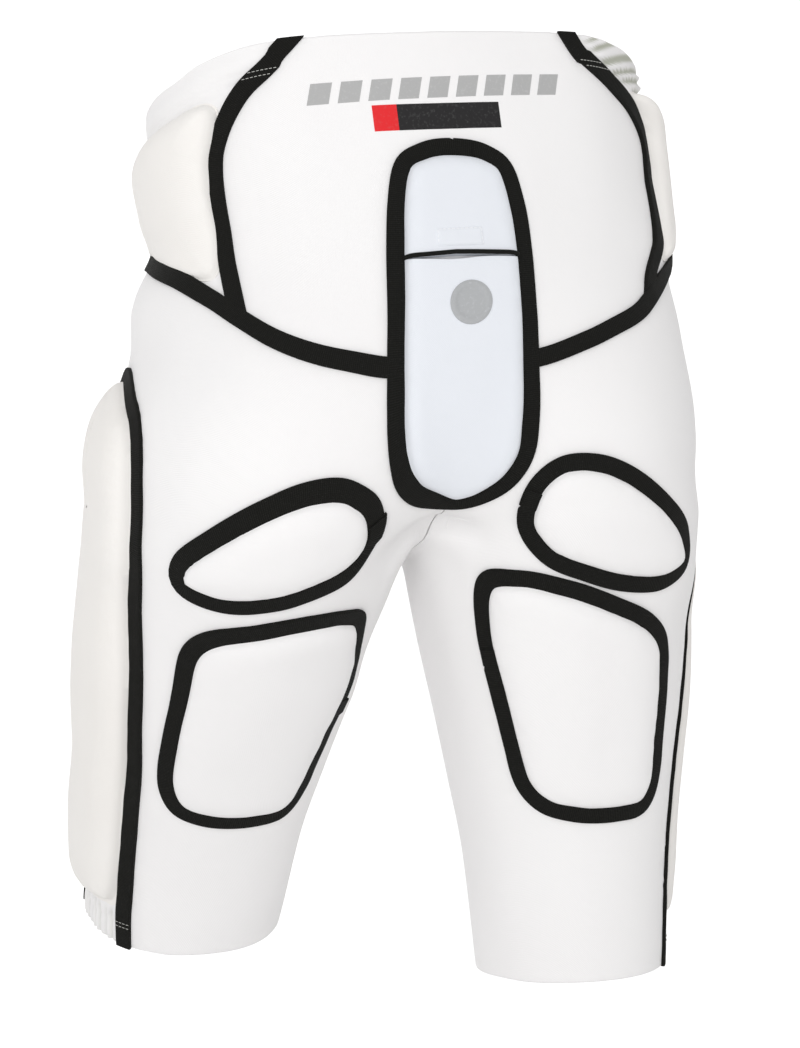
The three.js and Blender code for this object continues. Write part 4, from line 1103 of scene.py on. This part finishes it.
def slitWave(x):
    table = np.array(slit["wave"], float)
    return np.interp(x, table[:, 0], table[:, 1])


def slitGape(x):
    return slit["gape"] * hump((x - slit["gapeAt"]) / slit["gapeReach"])


points, faces = padMesh(lines["tailbone"], tailboneSpine, pads["tailbone"], pads["tape"], 11)
flapPoints, flapFaces = keepPart(points, faces, slitHeight + 0.4, True)
pouchPoints, pouchFaces = keepPart(points, faces, slitHeight - 0.4, False)
for kept, way, gapes in ((flapPoints, 1, 0), (pouchPoints, -1, 1)):
    near = eased(1 - np.abs(kept[:, 2] - slitHeight - way * 0.4) / slit["falloff"])
    kept[:, 2] += near * (slitWave(kept[:, 0]) - gapes * slitGape(kept[:, 0]))
finishPad("tailbone_flap_cover", "tailbone_flap", (flapPoints, flapFaces), "coolCloth")
finishPad("tailbone_pouch_cover", "tailbone_pouch", (pouchPoints, pouchFaces), "coolCloth")

for name, side in sides.items():
    seatMiddle = seatPlace(name, np.array(0.0), np.array(0.0))
    outline = lines[f"seat_{name}"]
    made = padMesh(outline, lambda p: seatMiddle + 0 * p, pads["seat"], pads["tape"], 21 + side)
    finishPad(f"seat_cushion_{name}", f"seat_pad_{name}", made, "shellCloth")

    def thighSpine(p):
        b = np.clip((p[:, 2] + loops["thighDrop"]) / loops["thighHalfHeight"], -0.5, 0.5)
        return thighPlace(name, 0 * b, b)

    made = padMesh(lines[f"thigh_{name}"], thighSpine, pads["thigh"], pads["tape"], 31 + side)
    finishPad(f"thigh_cushion_{name}", f"thigh_pad_{name}", made, "shellCloth")

    foot = hemDrop - loops["sidePadHemMargin"]
    footShare = (foot - loops["sideTop"]) / form["rise"]
    padShares = [*sideArch[name], *sideArch["front"], *[(out, footShare - up) for out, up in sidePadFoot]]
    outline = smoothLine(padShares, lambda a, b: sidePlace(name, a, b), loops["pace"], True)

    def sideSpine(p):
        drop = np.clip(-p[:, 2], loops["sideTop"] + loops["sidePadEndReach"], foot - loops["sidePadEndReach"])
        down = (drop - loops["sideTop"]) / form["rise"]
        middle = 0.5 * (1 + np.interp(down, *zip(*sidePadRear))) if name == "right" else 0.0
        return sidePlace(name, middle + 0 * drop, down)

    def sideShape(p):  # thinner towards both ends; on the right its rear part is pressed flat
        look = pads["side"]
        drop = -p[..., 2]
        upper = mixed(look["endTaper"], 1, eased((drop - loops["sideTop"]) / look["endReach"]))
        lower = mixed(look["footTaper"], 1, eased((foot - drop) / look["endReach"]))
        across, forward, *_ = legSection(p[..., 2])
        angle = np.degrees(np.arctan2(side * p[..., 0] - across, -(p[..., 1] - forward)))
        hidden = 1 - eased((angle - 78) / 40) if name == "right" else 0.0
        return upper * lower, mixed(look["roll"], look["hiddenRoll"], hidden)

    made = padMesh(outline, sideSpine, pads["side"], pads["tape"], 41 + side, sideShape)
    finishPad(f"side_cushion_{name}", f"side_pad_{name}", made, "creamCloth")

    def hipPlace(u, v):
        z, angle = np.zeros(np.shape(u)), np.full(np.shape(u), 90.0)
        margin = pads["hip"]["margin"]
        turn = arcAngle(margin)
        for _ in range(12):
            angle = mixed(rearSeamAngle(side, z) + turn, frontSeamAngle(side, z) - turn, u)
            z = mixed(waistHeight(angle) - shell["waistBand"], yokeHeight(side * angle) + margin, v)
        return trunkPoint(side * angle, z)

    def hipShape(p):  # fullest above, thinner down to the yoke seam
        angle = np.degrees(np.arctan2(p[..., 0], -p[..., 1]))
        topEdge = waistHeight(angle) - shell["waistBand"]
        low = (topEdge - p[..., 2]) / (topEdge - yokeHeight(angle))
        look = pads["hip"]
        share = mixed(1, look["footTaper"], eased((low - 0.3) / 0.7))
        return share, look["roll"] + 12 * eased((low - 0.5) / 0.5)

    turn = np.linspace(0, 2 * np.pi, 141)[:-1]
    u, v = (0.5 * np.sign(value) * np.abs(value) ** 0.4 for value in (np.cos(turn), np.sin(turn)))
    outline = evenly(hipPlace(0.5 + u, 0.5 - v), loops["pace"], True)
    hipMiddle = hipPlace(np.array(0.45), np.array(0.45))
    seam = pads["hip"]["seam"]
    made = padMesh(outline, lambda p: hipMiddle + 0 * p, pads["hip"], seam, 51 + side, hipShape)
    finishPad(f"hip_cushion_{name}", f"hip_pad_{name}", made, "creamCloth")
print("pads made")


def tailboneSurface(p):
    gap, _ = nearest(p, lines["tailbone"])
    look = pads["tailbone"]
    return padSwell(np.maximum(gap - pads["tape"], 0), look["thickness"], look["roll"])


# a round cord along a line of points
def cordMesh(line, radius, sidesRound=8):
    along = unit(np.gradient(line, axis=0))
    up = outward(line)
    up = unit(up - along * (up * along).sum(-1, keepdims=True))
    across = np.cross(along, up)
    turn = np.linspace(0, 2 * np.pi, sidesRound + 1)[:-1]
    count = len(line)
    size = np.full(count, radius)
    size[[0, -1]] = radius * 0.3
    rings = [line + (across * np.cos(t) + up * np.sin(t)) * size[:, None] for t in turn]
    points = np.array(rings).transpose(1, 0, 2).reshape(-1, 3)
    return points, tubeFaces(count, sidesRound)


def joinedMesh(meshes):
    points, faces, first = [], [], 0
    for somePoints, someFaces in meshes:
        points.append(somePoints)
        faces += [tuple(first + k for k in f) for f in someFaces]
        first += len(somePoints)
    return np.vstack(points), faces


# short stitches along a line: thread, gap, thread, gap
def stitchRow(line, length, gap, radius):
    run = runAlong(line)
    meshes = []
    for start in np.arange(gap / 2, run[-1] - length, length + gap):
        at = start + length * np.array([0, 0.12, 0.5, 0.88, 1])
        stitch = readLine(line, run, at)
        stitch = stitch + outward(stitch) * (radius * np.array([-0.6, 0.3, 0.55, 0.3, -0.6]))[:, None]
        meshes.append(cordMesh(stitch, radius, 6))
    return meshes


# thin closed patch over a grid of points
def patchMesh(base, over, under):
    r, c = base.shape[:2]
    up = outward(base)
    points = np.concatenate([(base + up * height[..., None]).reshape(-1, 3) for height in (over, under)])
    flat = gridQuads(r, c)
    faces = asFaces(flat) + asFaces((flat + r * c)[:, ::-1])
    border = [
        *range(c), *[i * c + c - 1 for i in range(1, r)],
        *[(r - 1) * c + j for j in range(c - 2, -1, -1)], *[i * c for i in range(r - 2, 0, -1)],
    ]
    for a, b in zip(border, border[1:] + border[:1]):
        faces.append((a, b, b + r * c, a + r * c))
    return points, faces


def addTrim(name, mesh, material):
    made = makePiece(name, *mesh, materials[material])
    return made


# dark cord along the slit of the tailbone pocket, a painted shadow under the flap's edge
x = np.linspace(-46, 46, 61)
z = slitHeight + 0.5 + slitWave(x)
seat = backPoint(x, z)
gap, _ = nearest(seat, lines["tailbone"])
under = np.nonzero(gap < pads["tape"] - 1.5)[0]  # where it passes under the tape on either side
seat = seat[under[under < 30].max():under[under > 30].min() + 1]
shadowCord = seat + outward(seat) * (tailboneSurface(seat) + 0.2)[:, None]
addTrim("slit_shadowCord", cordMesh(shadowCord, slit["shadowCordRadius"]), "ribbedTape")

# hook-and-loop patch on the flap, sewn round with pale thread
patch = {
    "middle": (-6.2, 9.6), "size": (26.0, 10.5), "rise": 0.9,
    "stitch": 1.7, "stitchGap": 0.8, "thread": 0.38,
}


def patchPlace(u, v):
    (across, up), (width, height) = patch["middle"], patch["size"]
    return backPoint(across + u * width / 2, slitHeight + up + v * height / 2)


u, v = np.meshgrid(np.linspace(-1, 1, 23), np.linspace(-1, 1, 11))
base = patchPlace(u, v)
edge = np.minimum(1 - np.abs(u), (1 - np.abs(v)) * patch["size"][1] / patch["size"][0])
swell = patch["rise"] * eased(edge / 0.1) + 0.12 * softNoise(base, 7, 77) * eased(edge / 0.06)
level = tailboneSurface(base)
addTrim("flap_patch", patchMesh(base, level - 0.12 + swell, level - 0.6), "coolCloth")
rows = []
for corners in (((-1, 1), (1, 1)), ((-1, 1), (-1, -1)), ((1, 1), (1, -1)), ((0.94, 1.1), (1.06, -1.1))):
    share = np.linspace(0, 1, 30)
    u = 0.93 * mixed(corners[0][0], corners[1][0], share)
    v = 0.85 * mixed(corners[0][1], corners[1][1], share)
    seat = patchPlace(u, v)
    seat = seat + outward(seat) * (tailboneSurface(seat) + 0.22)[:, None]
    rows += stitchRow(seat, patch["stitch"], patch["stitchGap"], patch["thread"])
addTrim("flap_patch_stitches", joinedMesh(rows), "whiteThread")

# two rows of pale stitches across each tape, at the fold of the waist edge and of the hem
crossRows = {
    "fromEdge": (15.2, 18.0), "length": 1.7, "gap": 0.7, "radius": 0.17, "halfWidth": 4.7, "height": 2.0,
}


def crossStitches(name, placeAt, line, drops, spread):
    rows = []
    for drop in drops:
        path = placeAt(np.linspace(-spread, spread, 240), drop)
        gap, _ = nearest(path, line)
        on = path[gap < crossRows["halfWidth"]]
        on = on + outward(on) * crossRows["height"]
        rows += stitchRow(on, crossRows["length"], crossRows["gap"], crossRows["radius"])
    return addTrim(name, joinedMesh(rows), "paleThread")


for name, side in sides.items():
    for label, angleAt in (("rear", rearSeamAngle), ("front", frontSeamAngle)):
        middle = float(angleAt(side, 0.0))

        def waistPath(spread, drop):
            angle = middle + spread
            return trunkPoint(side * angle, waistHeight(angle) - drop)

        line = lines[f"{label}Hip_{name}"]
        crossStitches(f"waist_stitches_{label}_{name}", waistPath, line, crossRows["fromEdge"], 14)
    crossStitches(f"hem_stitches_{name}", lambda spread, drop: legPoint(
        side, loops["sideAngle"] - loops["sideHalfAngle"] + spread, 0 * spread - hemDrop + drop),
        lines[f"side_{name}"], crossRows["fromEdge"], 12)

# seam of the gusset, running out from the crotch
gusset = {"angles": (-55, -50, -42, -33), "drops": (261, 251.5, 249.5, 250), "radius": 0.5}
shares = np.linspace(0, 1, 40)
knots = np.linspace(0, 1, len(gusset["angles"]))
seam = legPoint(1, np.interp(shares, knots, gusset["angles"]), -np.interp(shares, knots, gusset["drops"]))
sunk = mixed(-0.15, -0.75, eased((shares - 0.35) / 0.6))
addTrim("gusset_seam", cordMesh(seam + outward(seam) * (shellRelief(seam) + sunk)[:, None], gusset["radius"]),
        "shellCloth")

# seam between the legs, from under the tailbone tape to the crotch
riseSeam = {"from": -218, "to": -247, "points": 22, "radius": 1.3, "sunk": 0.1}
down = np.linspace(riseSeam["from"], riseSeam["to"], riseSeam["points"])
rise = settle(vectors(0 * down, -100 + 0 * down, down))
rise[:, 0] = 0
riseMesh = cordMesh(rise - outward(rise) * riseSeam["sunk"], riseSeam["radius"])
addTrim("rise_seam", riseMesh, "shellCloth")

# plain printed blocks on the back of the waist
blocks = {
    "count": 9, "from": (-76.5, -9.4), "to": (66.5, -7.4),
    "width": 11.6, "height": 11.4, "slant": 3.2, "rise": 0.13,
}
u, v = np.meshgrid(np.linspace(0, 1, 8), np.linspace(-0.5, 0.5, 7))
meshes = []
for k in range(blocks["count"]):
    left = mixed(blocks["from"][0], blocks["to"][0] - blocks["width"], k / (blocks["count"] - 1))
    x = left + u * blocks["width"] + v * blocks["slant"]
    z = np.interp(x, *zip(blocks["from"], blocks["to"])) + v * blocks["height"]
    base = backPoint(x, z)
    relief = shellRelief(base)
    meshes.append(patchMesh(base, relief + blocks["rise"], relief - 0.3))
addTrim("print_blocks", joinedMesh(meshes), "greyPrint")

label = {"from": -43.8, "to": 28.6, "middle": -24.3, "height": 14.2, "redWidth": 13.5, "rise": 0.15}
for name, start, end, material in (
    ("print_label_red", label["from"], label["from"] + label["redWidth"], "redPrint"),
    ("print_label", label["from"] + label["redWidth"], label["to"], "charcoalPrint"),
):
    u, v = np.meshgrid(np.linspace(0, 1, int((end - start) / 2) + 2), np.linspace(-0.5, 0.5, 9))
    base = backPoint(start + u * (end - start), label["middle"] + v * label["height"])
    relief = shellRelief(base)
    addTrim(name, patchMesh(base, relief + label["rise"], relief - 0.3), material)

# badge on the pouch
badge = {"diameter": 24.0, "across": -1.6, "drop": 128.8, "thickness": 0.9}
badgeProfile = [  # out: share of the radius, up: share of the thickness
    (0.0, 0.5), (0.3, 0.5), (0.55, 0.5), (0.68, 0.45), (0.72, 0.8), (0.8, 1.0), (0.9, 0.95),
    (0.97, 0.6), (1.0, -0.6),
]
turn = np.linspace(0, 2 * np.pi, 65)[:-1]
rows = []
for share, up in badgeProfile:
    reach = badge["diameter"] / 2 * max(share, 0.02)
    seat = backPoint(badge["across"] + reach * np.cos(turn), -badge["drop"] + reach * np.sin(turn))
    rows.append(seat + outward(seat) * (tailboneSurface(seat) + up * badge["thickness"])[:, None])
badgeMesh = (np.array(rows).reshape(-1, 3), tubeFaces(len(rows), len(turn)))
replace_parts(addTrim("pouch_badge", badgeMesh, "badgePrint"), "tailbone_badge")
print("details made")

# camera, light and floor
camera = {"turn": -17.5, "distance": 1.26, "height": -0.246, "roll": 1.7, "lens": 73.6}
view = bpy.data.cameras.new("camera")
view.lens = camera["lens"]
view.sensor_width = 36
cameraObject = bpy.data.objects.new("camera", view)
bpy.context.scene.collection.objects.link(cameraObject)
turn, roll = np.radians(camera["turn"]), np.radians(camera["roll"])
right = np.array((np.cos(turn), np.sin(turn), 0))
ahead = np.array((-np.sin(turn), np.cos(turn), 0))
upward = np.array((0, 0, 1.0))
rolledRight = right * np.cos(roll) - upward * np.sin(roll)
rolledUp = right * np.sin(roll) + upward * np.cos(roll)
place = -ahead * camera["distance"] + upward * camera["height"]
matrix = np.eye(4)
matrix[:3, 0], matrix[:3, 1], matrix[:3, 2], matrix[:3, 3] = rolledRight, rolledUp, -ahead, place
cameraObject.matrix_world = Matrix(matrix.tolist())
bpy.context.scene.camera = cameraObject

studio = {
    "world": 0.64, "key": 19.0, "fill": 1.5, "floor": -0.72, "wallAt": 3.2, "sweep": 1.4,
    "floorEnds": 0.5, "floorColour": (0.88, 0.875, 0.87), "wallColour": (0.93, 0.93, 0.93), "wallGlow": 0.45,
}
world = bpy.data.worlds.new("studio")
world.use_nodes = True
world.node_tree.nodes["Background"].inputs[0].default_value = (1, 1, 1, 1)
world.node_tree.nodes["Background"].inputs[1].default_value = studio["world"]
bpy.context.scene.world = world
bpy.context.scene.view_settings.view_transform = "Standard"


def addLight(name, power, size, position, aim):
    light = bpy.data.lights.new(name, "AREA")
    light.energy = power
    light.size = size
    made = bpy.data.objects.new(name, light)
    bpy.context.scene.collection.objects.link(made)
    away = unit(np.array(position, float) - np.array(aim, float))
    sideways = unit(np.cross((0, 0, 1.0), away))
    turned = np.eye(4)
    turned[:3, 0], turned[:3, 1] = sideways, np.cross(away, sideways)
    turned[:3, 2], turned[:3, 3] = away, position
    made.matrix_world = Matrix(turned.tolist())


addLight("key", studio["key"], 1.3, (-0.9, -2.05, 0.0), (0, 0, -0.25))
addLight("fill", studio["fill"], 1.8, (1.5, -1.6, -0.1), (0, 0, -0.25))


# pale floor, and behind the object a bright sweep that rises from it
def addStage(name, profile, colour, glow):
    points = [(x, y, studio["floor"] + z) for y, z in profile for x in (-5.0, 5.0)]
    mesh = bpy.data.meshes.new(name)
    mesh.from_pydata(points, [], [(2 * k, 2 * k + 1, 2 * k + 3, 2 * k + 2) for k in range(len(profile) - 1)])
    mesh.shade_smooth()
    material, _, shader = principled(name + "Paper", colour, 0.9, 0.0)
    shader.inputs["Emission Color"].default_value = (1, 1, 1, 1)
    shader.inputs["Emission Strength"].default_value = glow
    mesh.materials.append(material)
    made = bpy.data.objects.new(name, mesh)
    bpy.context.scene.collection.objects.link(made)


turn = np.linspace(0, np.pi / 2, 17)
arc = [(1 - np.sin(t), 1 - np.cos(t)) for t in turn]
rise = [(studio["wallAt"] - studio["sweep"] * back, studio["sweep"] * up) for back, up in arc]
addStage("floor", [(-4.0, 0.0), (studio["floorEnds"], 0.0)], studio["floorColour"], 0.0)
wall = [(studio["floorEnds"], 0.0), *rise, (studio["wallAt"], 3.4)]
addStage("backdrop", wall, studio["wallColour"], studio["wallGlow"])
print("studio ready")
